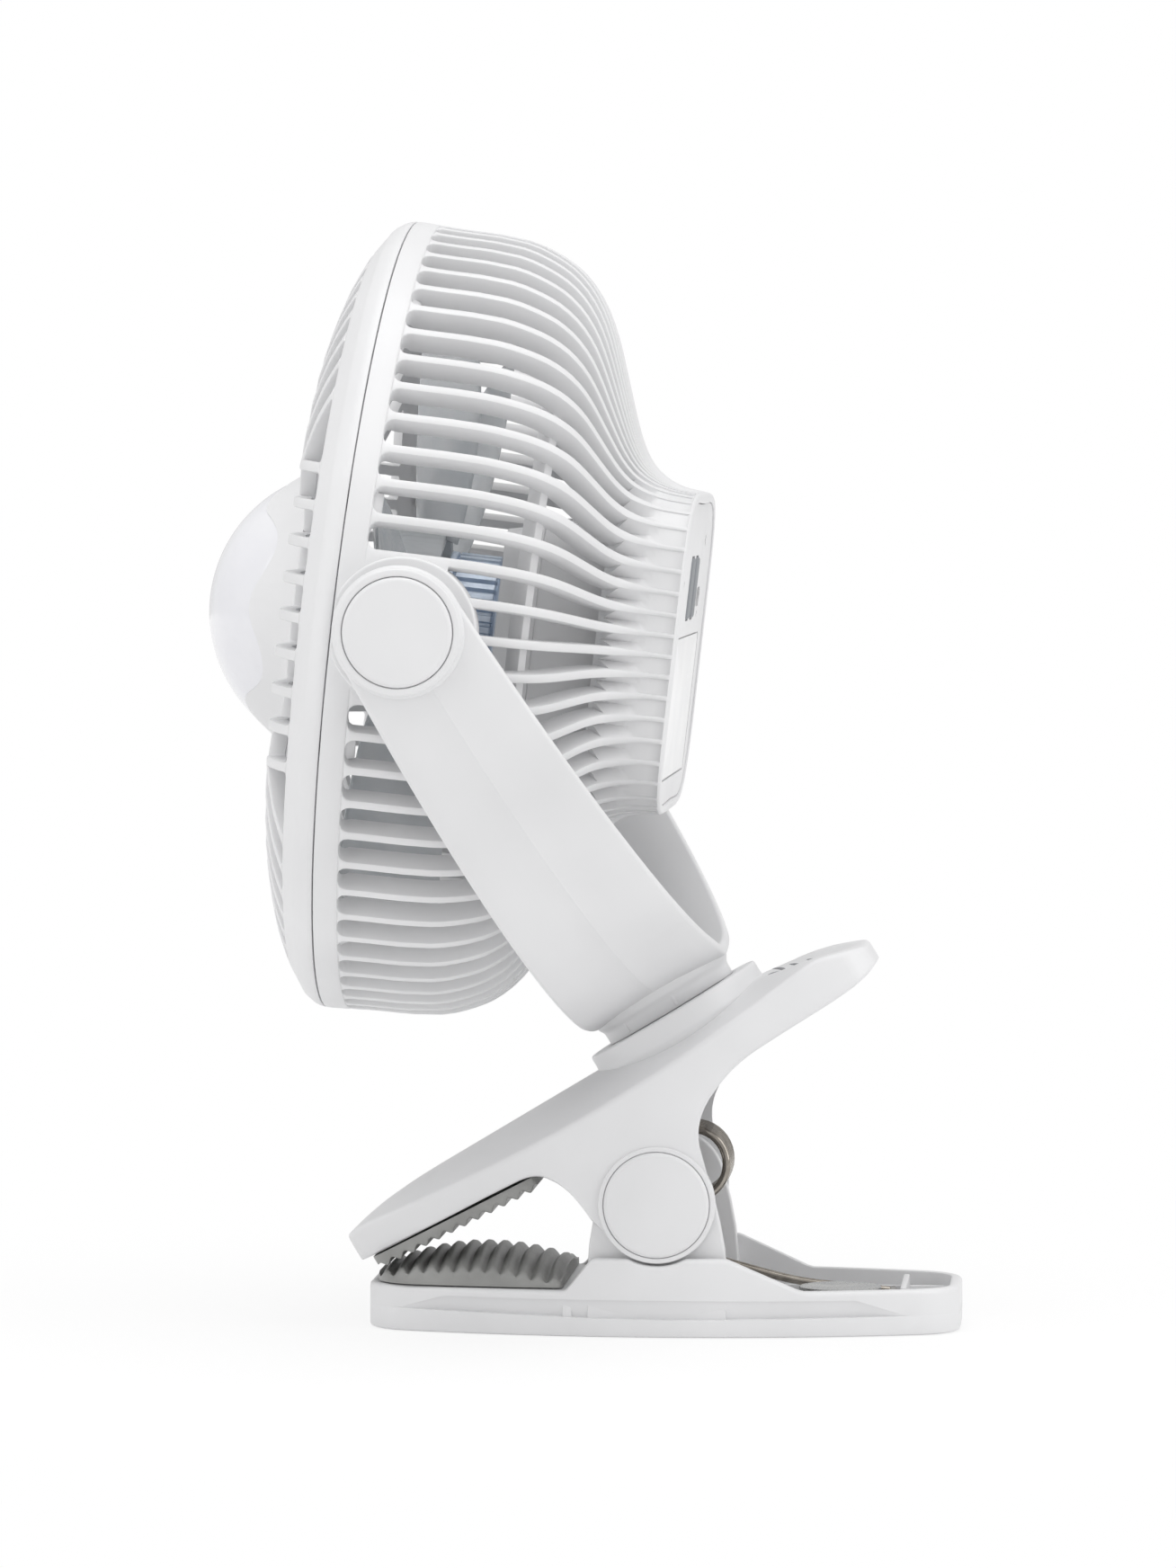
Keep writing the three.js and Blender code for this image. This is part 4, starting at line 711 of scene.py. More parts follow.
# Blade: at span s and chord c the sheet lies at
# depth = middle + r * half * c * tan(pitch) * 0.72 - camber, turned by the sweep; the section is a thin lens.
def bladeChunk(turn):
    s = np.linspace(0, 1, 26)[:, None]
    lap = np.linspace(0, 2 * np.pi, 44, endpoint=False)[None, :]
    c = np.cos(lap)
    root = rotor["hub"] - 1
    radius = root + (rotor["tip"] - root) * (1 - (1 - s) ** 1.15) + 0 * c
    sweep = 0.12 * np.sin(np.pi * s * 0.8) + 0.22 * s * s
    half = (0.48 - 0.12 * s) * np.where(s > 0.9, 1 - 2.2 * (s - 0.9), 1)
    pitchAngle = np.radians(37 - 14 * s)
    lens = np.sign(np.sin(lap)) * np.abs(np.sin(lap)) ** 0.6
    depth = rotor["middle"] + radius * half * c * np.tan(pitchAngle) * 0.72 - 2.2 * (1 - c * c)
    depth = np.clip(depth, 1.8, 26.6) + lens * rotor["thickness"] / 2 * np.where(s > 0.96, 0.6, 1)
    return moved(gridChunk(capped(polar(radius, depth, sweep + half * c))), turnAbout("Y", turn))


# hub like a cup with a knurled front band: r(t) = r0 + 0.3 cos(n t) inside the band
def hubChunk():
    profile = rounded([(0, 0.5), (17, 0.9), (20.6, 2.3), (22, 5.4), (22, 15.1), (20, 15.1), (20, 4.8), (4, 3.9),
                       (4, 13.5), (0, 13.5)], (0, 3, 2, 2, 0.4, 0.4, 1, 0.5, 0.4, 0), 5)
    extra = np.interp(profile[:, 1], [3.2, 3.8, 7.6, 8.2], [0, 1, 1, 0]) * (profile[:, 0] > 20.8)
    turn = np.linspace(0, 2 * np.pi, 4 * rotor["knurls"], endpoint=False)[None, :]
    radius = profile[:, :1] - 0.35 * extra[:, None] * (1 - np.cos(rotor["knurls"] * turn)) / 2
    return gridChunk(polar(radius, profile[:, 1:2] + 0 * radius, turn + 0 * radius))


blades = [bladeChunk(360 / rotor["blades"] * k) for k in range(rotor["blades"])]
rotorPiece = meshObject("milkyRotor", [hubChunk()] + blades, headFrame)
finishPiece(rotorPiece, milkyBlade, "rotor", ["fan_rotor"], 40)

motor = {"radius": 17.0, "front": 15.5, "end": 38.65, "fins": 40}


# can with a flange, a finned middle and a plain end: r(t) = r0 - 0.5 (1 - |cos(n t / 2)|) on the fins
def motorChunk():
    m = motor
    profile = rounded([(1.9, 15.5), (5, 15.5), (5, 16.4), (16.9, 16.4), (16.9, 17.9), (15.8, 18.1), (16.9, 18.6),
                       (16.9, 28.2), (15.9, 28.6), (16.5, 29.2), (16.5, 37.6), (15.2, 38.6), (0, 38.6)],
                      (0, 0.2, 0.2, 0.3, 0.3, 0.1, 0.2, 0.3, 0.1, 0.4, 0.9, 0.6, 0), 3)
    band = ((profile[:, 1] > 18.3) & (profile[:, 1] < 28.4) & (profile[:, 0] > 16)).astype(float)
    turn = np.linspace(0, 2 * np.pi, 8 * m["fins"], endpoint=False)[None, :]
    notch = (np.cos(m["fins"] * turn) < -0.1).astype(float)
    radius = profile[:, :1] - 1.1 * band[:, None] * notch
    closing = np.concatenate([radius, np.full((2, turn.size), 1.9)])
    closing[-2] = 0
    along = np.concatenate([profile[:, 1:2], [[24.0]], [[24.0]]]) + 0 * closing
    return gridChunk(polar(closing, along, turn + 0 * closing), wrapRows=True)


motorPiece = meshObject("finnedMotorCan", [motorChunk()], headFrame)
# the can's bluish tint is painted shade
finishPiece(motorPiece, motorSteelShadeTint, "head", ["motor_can"], 40)


# inner tub: open box with a lip round its front edge, and the raised seat of the motor
def tubChunks():
    outer = roundedRectangle(44, 27, 6, steps=8)
    levels = [(39.0, 0.5), (39.15, 0.12), (39.6, 0.0), (40.4, 0.0), (40.6, 0.45), (72.3, 0.45), (72.3, 2.4), (41.2, 2.4)]
    outward = outwardOf(outer)
    flat = np.stack([outer - inset * outward for _, inset in levels])
    rows = np.stack([flat[..., 0], np.array([level for level, _ in levels])[:, None] + 0 * flat[..., 0], flat[..., 1]], -1)
    seat = roundedRectangle(24, 24, 6, steps=8)
    hole = 17.4 * np.stack([np.cos(turnOf(seat)), np.sin(turnOf(seat))], -1)
    seatOut = outwardOf(seat)
    ringRows = [(39.6, seat), (30.6, seat), (30.15, seat - 0.15 * seatOut), (30.0, seat - 0.6 * seatOut), (30.0, hole), (39.6, hole)]
    ring = np.stack([np.stack([p[:, 0], level + 0 * p[:, 0], p[:, 1]], -1) for level, p in ringRows])
    return [gridChunk(capped(rows)), gridChunk(ring, wrapRows=True)]


def turnOf(outline):
    return np.arctan2(outline[:, 1], outline[:, 0])


tub = meshObject("innerTub", tubChunks(), headFrame)
finishPiece(tub, absSatin, "head", ["pod_cover"], 34)
print("rotor, motor and tub made")


# yoke
yoke = {"inner": 97.0, "outer": 100.0, "topHalf": 14.5, "bottomHalf": 18.5, "corner": 5.0, "edge": 0.9,
        "bossRadius": 14.0, "bossFace": 102.3, "capSeat": 12.3, "neck": 16.4}


# Band: swept round the tilt axis from arm to arm. At angle t from the bottom a point of the section is
# (r sin t, y, -r cos t); the half-width follows the arms, rounds their tops and the bottom corners.
def yokeBand():
    y = yoke
    middle = (y["inner"] + y["outer"]) / 2
    top = np.degrees(np.arcsin(y["topHalf"] * np.sin(np.radians([15, 35, 52, 65, 76, 84, 88.5])) / middle)) + 90
    side = np.concatenate([np.linspace(0, 30, 16), np.linspace(32, 90, 24), top])
    angle = np.radians(np.concatenate([-side[:0:-1], side]))[:, None]
    height = -middle * np.cos(angle)
    half = np.where(height > 0, np.sqrt(np.maximum(y["topHalf"] ** 2 - height ** 2, 1e-3)),
                    y["topHalf"] + (y["bottomHalf"] - y["topHalf"]) * np.clip(-height / 96, 0, 1))
    below = np.clip(-height - 96, 0, 4.99)
    half = half - y["corner"] + np.sqrt(y["corner"] ** 2 - below ** 2)
    edge = np.minimum(y["edge"], 0.9 * half)
    quarter = np.radians([0, 30, 60, 90])
    # section: outer face with the faint mould line in its middle, then round the two edges and the inner face
    line = [-0.35, -0.12, 0, 0.12, 0.35]
    rise = [0, 0.07, 0.1, 0.07, 0]
    across = [-(half - edge) * f for f in (1, 0.66, 0.33)] + [v + 0 * half for v in line] + [
        (half - edge) * f for f in (0.33, 0.66)]
    radial = [y["outer"] + 0 * half] * 3 + [y["outer"] + v + 0 * half for v in rise] + [y["outer"] + 0 * half] * 2
    for t in quarter:
        across.append(half - edge + edge * np.sin(t))
        radial.append(y["outer"] - edge + edge * np.cos(t))
    for t in quarter:
        across.append(half - edge + edge * np.cos(t))
        radial.append(y["inner"] + edge - edge * np.sin(t))
    for f in (0.5, 0, -0.5):
        across.append((half - edge) * f)
        radial.append(y["inner"] + 0 * half)
    for t in quarter[::-1]:
        across.append(-(half - edge + edge * np.cos(t)))
        radial.append(y["inner"] + edge - edge * np.sin(t))
    for t in quarter[::-1][:-1]:
        across.append(-(half - edge + edge * np.sin(t)))
        radial.append(y["outer"] - edge + edge * np.cos(t))
    across, radial = np.hstack(across), np.hstack(radial)
    return gridChunk(capped(np.stack([radial * np.sin(angle), across, -radial * np.cos(angle)], -1)))


def yokeBossChunk(side):
    y = yoke
    profile = rounded([(3.2, 97.2), (13.2, 97.2), (14.9, 99.4), (y["bossRadius"], 100.4), (y["bossRadius"], y["bossFace"]),
                       (y["capSeat"], y["bossFace"]), (y["capSeat"], 101.4), (5.5, 101.4), (5.5, 98.4), (3.2, 98.4)],
                      (0, 0.5, 0.6, 0.7, 0.6, 0.45, 0.1, 0.2, 0.1, 0), 4)
    chunk = lathe(np.vstack([profile, profile[:1]]), 120, "x")
    return chunk if side > 0 else mirrored(chunk)


def yokeNeckChunk():
    profile = rounded([(0, -97.4), (17.6, -97.4), (17.4, -100.2), (16.5, -101.4), (16.4, -104.42), (8, -104.42), (8, -114.2),
                       (1.9, -114.2), (1.9, -99.0), (0, -99.0)], (0, 0.3, 1.0, 0.8, 0.2, 0.2, 0.3, 0.1, 0.1, 0), 4)
    return lathe(profile, 120, "z")


# small mould marks low on the neck
def neckMark(turn):
    outline = roundedRectangle(0.35, 1.3, 0.3, steps=3)
    mark = puck(outline, 16.3, 16.6, 0.12, 2, "x")
    points, faces = mark
    points = points + np.array([0, 0, -102.6])
    return moved((points, faces), turnAbout("Z", turn))


yokeChunks = [yokeBand(), yokeBossChunk(1), yokeBossChunk(-1), yokeNeckChunk(), neckMark(10), neckMark(-38)]
yokePiece = meshObject("yokeBand", yokeChunks, yokeFrame)
finishPiece(yokePiece, absSatin, "yoke_frame", ["yoke"], 38)


# round cap with a very slight crown and a rounded edge
def capProfile(face):
    return rounded([(0, face - 2.4), (12.12, face - 2.4), (12.14, face - 0.5), (11.5, face + 0.02), (0, face + 0.25)],
                   (0, 0.2, 0.4, 0.9, 0), 5)


def capPiece(name, node, face, side, place, body):
    chunk = lathe(capProfile(face), 120, "x")
    piece = meshObject(name, [chunk if side > 0 else mirrored(chunk)], place)
    return finishPiece(piece, absSatin, body, [node], 40)


capPiece("tiltCapLeft", "tilt_cap_left", yoke["bossFace"] + 0.5, 1, yokeFrame, "yoke_frame")
capPiece("tiltCapRight", "tilt_cap_right", yoke["bossFace"] + 0.5, -1, yokeFrame, "yoke_frame")
print("yoke made")


# clip lever
barrel = {"sideRadius": 186.0}


# half-width of the barrel-shaped plan at a place along it, moved inward by an inset
def barrelHalf(y, front, rear, halfWidth, inset=0.0, corner=9.0):
    sideRadius = barrel["sideRadius"] - inset
    corner = max(corner - inset, 1.5)
    middle = (front + rear) / 2
    reach = (rear - front) / 2 - inset - corner
    sideX = halfWidth - barrel["sideRadius"]
    cornerX = sideX + math.sqrt((sideRadius - corner) ** 2 - reach ** 2)
    touch = reach + corner * reach / (sideRadius - corner)
    away = np.minimum(np.abs(y - middle), reach + corner)
    onSide = sideX + np.sqrt(sideRadius ** 2 - np.minimum(away, touch) ** 2)
    onCorner = cornerX + np.sqrt(np.maximum(corner ** 2 - np.maximum(away - reach, 0) ** 2, 0))
    return np.where(away < touch, onSide, onCorner)


lever = {
    "front": -67.7, "rear": 70.5, "half": 29.6, "skin": 2.6, "crown": 32.7, "crownRadius": 66.0, "crease": 1.6,
    "under": [(-67.7, 22.9), (-56, 22.3), (-45, 21.8), (-32, 21.2), (-24, 20.7), (-21.4, 20.1), (-19.4, 18.9), (-17.2, 16.0),
              (-15.9, 12.9), (-15.1, 8.8), (-14.75, 4.6)],
    "underRear": [(14.7, 4.7), (15.2, 6.6), (16.7, 9.6), (19, 12.2), (22, 14.3), (27, 16.5), (31, 17.8), (35.9, 18.6), (45, 18.85),
                  (58, 19.0), (64, 19.4), (68, 20.2), (70.5, 21.2)],
    "foot": 13.4,
    "top": [(-70, 28.8), (-65, 30.2), (-58, 31.5), (-48, 32.5), (-42, 32.7), (38, 32.7), (46, 32.3), (54, 31.0), (59, 29.8),
            (64, 28.2), (71, 25.7)],
    "dish": (56.5, 12.5, 1.4),
}


# height of the top skin: the crown's arc, cut by the long profile, with the thumb dish sunk in
def leverTop(x, y, inset=0.0):
    l = lever
    crown = l["crown"] - l["crownRadius"] + np.sqrt(l["crownRadius"] ** 2 - x ** 2)
    along = softLookup(l["top"], y, 3.0)
    soft = 0.5
    height = -soft * np.log(np.exp(-(crown - 20) / soft) + np.exp(-(along - 20) / soft)) + 20
    centre, size, depth = l["dish"]
    spread = np.clip(1 - ((x / (size * 1.25)) ** 2 + ((y - centre) / size) ** 2), 0, 1)
    return height - depth * spread ** 1.5 * 1.6 * (inset == 0) - inset


def leverShell():
    l = lever
    lap = np.radians(np.linspace(176, 364, 49))
    foot = np.stack([l["foot"] * np.cos(lap), l["foot"] * np.sin(lap)], -1)
    front = rounded(l["under"], 3.0, 3)
    rear = rounded(l["underRear"], 3.0, 3)
    lead = front[1] + (front[0] - front[1]) * np.array([[0.97], [0.9], [0.75], [0.5]])
    front = np.concatenate([front[:1], lead, front[1:]])
    tail = rear[-1] + (rear[-2] - rear[-1]) * np.array([[0.5], [0.25], [0.1], [0.03]])
    rear = np.concatenate([rear[:-1], tail, rear[-1:]])
    fillFront = np.stack([np.linspace(-66, -26, 26), np.interp(np.linspace(-66, -26, 26), *np.array(l["under"]).T)], -1)
    fillRear = np.stack([np.linspace(38, 69, 24), np.interp(np.linspace(38, 69, 24), *np.array(l["underRear"]).T)], -1)
    under = np.concatenate([front, fillFront, foot, rear, fillRear])
    under = under[np.argsort(under[:, 0], kind="stable")]
    y, low = under[:, :1], under[:, 1:]
    fromEnd = np.minimum(y - l["front"], l["rear"] - y)
    tipDrop = edgeDrop(fromEnd, 1.3)

    def sections(inset):
        yy = np.clip(y, l["front"] + inset, l["rear"] - inset)
        half = barrelHalf(yy, l["front"], l["rear"], l["half"], inset) - tipDrop * (inset == 0)
        crease = max(l["crease"] - inset, 0.3)
        bend = np.radians(62)
        knee = leverTop(half - crease + crease * np.cos(bend), yy, inset) - tipDrop * (inset == 0) - crease * np.sin(bend)
        knee = np.maximum(knee, low + 0.8)
        xs, zs = [], []
        bottom = 0.55 if inset == 0 else -0.3
        for f in (1.0, 0.3, 0.0):
            xs.append(half - bottom * f)
            zs.append(low + (abs(bottom) * (1 - f) ** 2 if inset == 0 else 0.0 * low))
        for f in (0.35, 0.7):
            xs.append(half)
            zs.append(low + (knee - low) * f)
        for t in np.radians([0, 16, 32, 47]):
            xs.append(half - crease + crease * np.cos(t))
            zs.append(knee + crease * np.sin(t))
        edgeX = half - crease + crease * np.cos(bend)
        for f in np.cos(np.linspace(0, np.pi / 2, 12)) ** 0.8:
            x = edgeX * f
            xs.append(x)
            zs.append(np.maximum(leverTop(x, yy, inset) - tipDrop * (inset == 0), low + 1))
        xs, zs = np.hstack(xs), np.hstack(zs)
        # right side from the bottom up, then mirrored down the left side
        x = np.hstack([xs, -xs[:, -2::-1]])
        z = np.hstack([zs, zs[:, -2::-1]])
        grid = np.stack([x, yy + 0 * x, z], -1)
        firstPole = np.broadcast_to(np.array([0, yy[0, 0], low[0, 0]]), grid[:1].shape)
        lastPole = np.broadcast_to(np.array([0, yy[-1, 0], low[-1, 0]]), grid[:1].shape)
        return np.concatenate([firstPole, grid, lastPole])

    outer, inner = sections(0.0), sections(l["skin"])
    closed = np.ones((len(outer) - 1, outer.shape[1]), bool)
    return shellChunk(outer, inner, closed, wrapColumns=False)


def leverCollar():
    profile = rounded([(8.4, 27.0), (20.9, 27.0), (22.3, 31.0), (22.0, 32.8), (22.0, 35.9), (17.2, 35.9), (16.8, 35.4), (8.4, 35.4)],
                      (0, 0.4, 0.6, 0.8, 0.75, 0.3, 0.2, 0.2), 4)
    return lathe(np.vstack([profile, profile[:1]]), 144, "z", centre=(0, clipSettings["collarAlong"], 0))


# low ring round the pin cap, standing a little proud of the leg
def leverBoss(side):
    profile = rounded([(2.8, 26.6), (13.2, 26.6), (13.4, 29.4), (13.4, 30.2), (12.25, 30.2), (12.25, 29.5), (2.8, 29.5)],
                      (0, 0.3, 0.2, 0.4, 0.25, 0.1, 0), 4)
    chunk = lathe(np.vstack([profile, profile[:1]]), 120, "x")
    return chunk if side > 0 else mirrored(chunk)


def crossRib(y, low):
    half = float(barrelHalf(np.array(y), lever["front"], lever["rear"], lever["half"], 2.0))
    x = np.linspace(-half, half, 25)
    top = leverTop(x, np.full_like(x, y), 1.6)
    outline = np.concatenate([np.stack([x, top], -1), [[half, low], [-half, low]]])
    return puck(outline, y - 0.8, y + 0.8, 0.2, 2, "y")


leverChunks = [leverShell(), leverCollar(), leverBoss(1), leverBoss(-1),
               crossRib(-20.4, 20.9), crossRib(38.6, 19.3), crossRib(56.0, 19.8)]
leverPiece = meshObject("clipLever", leverChunks, leverFrame)
finishPiece(leverPiece, absSatin, "lever", ["clip_lever"], 38)


# three curved grip marks pressed into the thumb dish; their darker grey is painted shade
def gripMark(y, size):
    turn = np.radians(np.linspace(-58, 58, 25))
    x = size * np.sin(turn)
    along = y - size * 0.6 + size * np.cos(turn) * 0.6
    z = leverTop(x, along) - 0.12
    path = np.stack([x, along, z], -1)
    lap = np.linspace(0, 2 * np.pi, 10, endpoint=False)
    thin = np.sqrt(np.clip(1 - (np.linspace(-1, 1, 25)) ** 4, 0.02, 1))[:, None]
    grid = path[:, None] + np.stack([0 * lap, np.cos(lap), 0.55 * np.sin(lap)], -1)[None] * (0.75 * thin)[..., None]
    return gridChunk(capped(grid))


marks = meshObject("thumbGripMarks", [gripMark(y, 11.0) for y in (50.5, 54.5, 58.5)], leverFrame)
# the marks' darker grey material is painted shade of the grooves
finishPiece(marks, gripMarkShadeGrey, "lever", (), 60)
capPiece("pinCapLeft", "pin_cap_left", 30.8, 1, leverFrame, "lever")
capPiece("pinCapRight", "pin_cap_right", 30.8, -1, leverFrame, "lever")


# grip pads
lowerPad = {"front": -67.4, "rear": -23.4, "pitch": 3.6, "ridge": 0.72, "bottom": 10.85, "rise": 1.0, "fall": 3.4}
upperPad = {"front": -64.1, "rear": -21.6, "pitch": 3.45, "ridge": 0.62, "thick": 2.9}


# Pad: rows along Y; each section is a closed loop whose ridged side is carried by z(x, y) and whose
# long edges are rounded. The ridges fade just inside the edge.
def padChunk(y, half, ridged, flat, edge):
    side = np.array([1, 0.985, 0.955, 0.9, 0.8, 0.6, 0.3])
    x = np.concatenate([side, [0], -side[::-1]])[None, :] * half[:, None]
    inside = half[:, None] - np.abs(x)
    towards = np.sign(np.mean(flat) - np.mean(ridged))
    top = ridged + towards * edgeDrop(inside, edge)
    bottomX = np.array([-1, -0.5, 0.5, 1])[None, :] * half[:, None]
    loopX = np.hstack([x, bottomX])
    loopZ = np.hstack([top, np.broadcast_to(np.reshape(flat, (-1, 1)), bottomX.shape)])
    return gridChunk(capped(np.stack([loopX, np.broadcast_to(y[:, None], loopX.shape), loopZ], -1)))


def lowerPadChunk():
    p = lowerPad
    y = np.linspace(p["front"], p["rear"], 190)
    half = barrelHalf(y, -68.0, 40, 27.5, 0.6, 13.0) - edgeDrop(np.minimum(y - p["front"], p["rear"] - y), 1.2)
    arch = 16.75 - 0.0085 * (y + 44) ** 2
    wave = np.cos(2 * np.pi * (y + 25.2) / p["pitch"])
    ridge = p["ridge"] * (np.abs((wave + 1) / 2) ** 0.7 * 2 - 1)
    side = np.array([1, 0.985, 0.955, 0.9, 0.8, 0.6, 0.3, 0, -0.3, -0.6, -0.8, -0.9, -0.955, -0.985, -1])
    fade = np.clip((1 - np.abs(side)) / 0.03, 0.6, 1)
    ends = np.clip(np.minimum(y - p["front"], p["rear"] - y) / 1.0, 0, 1)
    # the top is crowned from side to side, less so towards the front
    crown = np.interp(y, [-66, -50], [0.15, 1])[:, None] * (p["rise"] - p["fall"] * np.abs(side[None]) ** 2.2)
    top = np.maximum((arch + 0.1)[:, None] + crown, p["bottom"] + 1.6) + (ridge * ends)[:, None] * fade[None]
    return padChunk(y, half, top, np.full(len(y), p["bottom"]), 0.9)


def upperPadChunk():
    p = upperPad
    y = np.linspace(p["front"], p["rear"], 170)
    jaw = 20.2 + (y + 21) * (23 - 20.2) / (-68.5 + 21)
    half = barrelHalf(y, -66.5, 40, 26.6, 0.5) - edgeDrop(np.minimum(y - p["front"], p["rear"] - y), 1.0)
    wave = np.cos(2 * np.pi * (y + 63.5) / p["pitch"])
    ridge = p["ridge"] * (np.abs((wave + 1) / 2) ** 0.8 * 2 - 1)
    side = np.array([1, 0.985, 0.955, 0.9, 0.8, 0.6, 0.3, 0, -0.3, -0.6, -0.8, -0.9, -0.955, -0.985, -1])
    under = (jaw - p["thick"])[:, None] + ridge[:, None] + 0 * side[None]
    return padChunk(y, half, under, jaw - 0.35, 0.6)


lowerPadPiece = meshObject("ridgedLowerPad", [lowerPadChunk()], world)
finishPiece(lowerPadPiece, gripRubber, "base", ["lower_grip_pad"], 50)
upperPadPiece = meshObject("toothedUpperPad", [upperPadChunk()], leverFrame)
finishPiece(upperPadPiece, gripRubber, "lever", ["upper_grip_pad"], 50)
print("lever and pads made")


# clip base
base = {
    "front": -69.5, "rear": 67.6, "half": 30.5, "corner": 13.0, "wall": 2.6, "wallTop": 10.5, "floor": 2.2,
    "top": [(-80, 10.5), (-22.8, 10.5), (-22.0, 11.2), (-17.2, 17.4), (-16.2, 18), (-12.4, 17.7)],
    "archRadius": 14.0, "scoopAlong": (-62, -51, 0, 44, 55.5), "scoopLow": (5.3, 5.1, 4.0, 4.4, 4.5),
    "scoopHigh": (5.3, 8.5, 8.5, 8.3, 4.5), "scoopDepth": 1.5,
}


# height of the wall's rim along Y: flat, up the cheek, round under the lever's foot, and down again
def rimHeight(y):
    pinY, pinZ = clipSettings["pin"][1:]
    ramp = softLookup([(-80, 10.5), (-22.6, 10.5), (-16.6, 18.0), (14.6, 18.1), (31.8, 10.5), (80, 10.5)], y, 0.9)
    arch = pinZ - np.sqrt(np.maximum(base["archRadius"] ** 2 - (y - pinY) ** 2, 0))
    return np.where(np.abs(y - pinY) < 6.5, np.minimum(ramp, arch), ramp)


# closed barrel outline as (x, y), dense where the rim or the corners change
def barrelLoop(front, rear, half):
    corner = base["corner"]
    y = np.unique(np.concatenate([
        front + corner * (1 - np.cos(np.linspace(0, np.pi / 2, 10))), np.linspace(front + corner, -24, 16), np.linspace(-23.6, -15.6, 18),
        -1.5 + 7 * np.sin(np.linspace(-np.pi / 2, np.pi / 2, 15)), np.linspace(-15.2, -8.6, 5), np.linspace(5.6, 13.6, 5),
        np.linspace(14.0, 16, 6), np.linspace(17, 34, 12), np.linspace(35, rear - corner, 12),
        rear - corner * (1 - np.cos(np.linspace(0, np.pi / 2, 10)))]))
    x = barrelHalf(y, front, rear, half, 0.0, corner)
    flat = x[0] * np.linspace(-0.75, 0.75, 4)
    return np.concatenate([np.stack([x, y], -1), np.stack([flat[::-1], np.full(4, rear)], -1),
                           np.stack([-x[::-1], y[::-1]], -1), np.stack([flat, np.full(4, front)], -1)])


# tray: one skin from the middle of the underside, up the outer wall with its scoop, over the rim, down inside
def trayChunk():
    b = base
    loop = barrelLoop(b["front"], b["rear"], b["half"])
    outward = outwardOf(loop)
    y = loop[:, 1]
    rim = rimHeight(y)
    low = np.interp(y, b["scoopAlong"], b["scoopLow"])
    high = np.maximum(np.interp(y, b["scoopAlong"], b["scoopHigh"]), low + 0.02)
    deep = b["scoopDepth"] * np.minimum((high - low) / 3.2, 1) * (np.abs(loop[:, 0]) > 12)
    zero = 0 * y
    rows = [(zero, 0.8 + zero), (zero + 0.22, 0.24 + zero), (zero + 0.8, zero), (low - 0.02, zero), (low + 0.08, deep),
            ((low + high) / 2, 0.62 * deep), (high - 0.03, 0.24 * deep), (high, 0.05 * deep), (np.maximum(high + 0.1, rim - 1.2), zero),
            (rim - 0.6, 0.13 + zero), (rim - 0.2, 0.52 + zero), (rim, 1.2 + zero), (rim, 2.1 + zero), (rim - 0.18, 2.45 + zero), (rim - 0.6, 2.6 + zero),
            (zero + 3.0, 2.6 + zero), (zero + 2.32, 2.75 + zero), (zero + b["floor"], 3.3 + zero)]
    flat = np.stack([loop - inset[:, None] * outward for _, inset in rows])
    height = np.stack([z for z, _ in rows])
    return gridChunk(capped(np.concatenate([flat, height[..., None]], -1)))


def block(x0, x1, y0, y1, z0, z1, bevel=0.25):
    outline = roundedRectangle((x1 - x0) / 2, (y1 - y0) / 2, min(0.35, (x1 - x0) / 3, (y1 - y0) / 3),
                               ((x0 + x1) / 2, (y0 + y1) / 2), 2)
    return puck(outline, z0, z1, bevel, 2, "z")


def earChunks(side):
    pinY, pinZ = clipSettings["pin"][1:]
    outline = np.concatenate([
        [(-17.9, 3), (-17.7, 14), (-17.2, 21), (-16.3, 26.4)], arc((pinY, pinZ), 12.8, 155, 14, 26),
        [(12.7, 26.4), (13.9, 20), (14.5, 13), (14.9, 3)]])
    plate = puck(outline, 22.4, 26.0, 0.5, 3, "x")
    foot = puck(np.array([(-17.4, 3), (-17.2, 15.4), (14.2, 15.4), (14.4, 3)], float), 25, 29.1, 0.3, 2, "x")
    chunks = [plate, foot]
    return chunks if side > 0 else [mirrored(c) for c in chunks]


# deck under the lower pad: the barrel plan cut off behind the pad, on a bulkhead
def deckChunks():
    y = np.linspace(-67.9, -21.4, 44)
    x = barrelHalf(y, base["front"], base["rear"], base["half"], 1.6, base["corner"])
    outline = np.concatenate([np.stack([x, y], -1), np.stack([-x[::-1], y[::-1]], -1)])
    return [puck(outline, 8.3, 10.5, 0.3, 2, "z"), block(-28.5, 28.5, -23.2, -21.0, 2.0, 10.4)]


ribs = [block(x - 0.7, x + 0.7, -21.5, 64.2, 2.0, 7.6) for x in (-14, 14)]
ribs += [block(-14.2, 14.2, y - 0.7, y + 0.7, 2.0, top) for y, top in ((54.5, 10.2), (39, 6.6), (24, 7.2))]
ribs += [block(x - 0.6, x + 0.6, 54.8, 64.5, 2.0, 7.2) for x in (-5, 5)]
basePiece = meshObject("clipBase", [trayChunk()] + deckChunks() + earChunks(1) + earChunks(-1) + ribs, world)
finishPiece(basePiece, absSatin, "base", ["base_shell"], 36)

# low round button beside the spring's leg
seat = meshObject("springSeatButton", [puck(arc((2.2, 39.5), 9.6, 0, 355, 71), 6.95, 9.2, 0.5, 4, "z")], world)
finishPiece(seat, zincSteel, "base", ["spring_seat"], 40)
print("base made")


# torsion spring
spring = {
    "centre": (5.3, 37.8), "mean": 8.1, "turns": 6, "pitch": 3.0, "wire": 1.0, "sides": 16, "upperTurn": 22.0, "upperLeg": 27.4,
    "leg": [(51.5, 7.0), (44, 7.4), (29, 8.8), (-0.2, 16.7), (-2.2, 18), (-2.8, 20.4), (-2.8, 37.8)],
    "bar": (-0.7, 12.2),
}


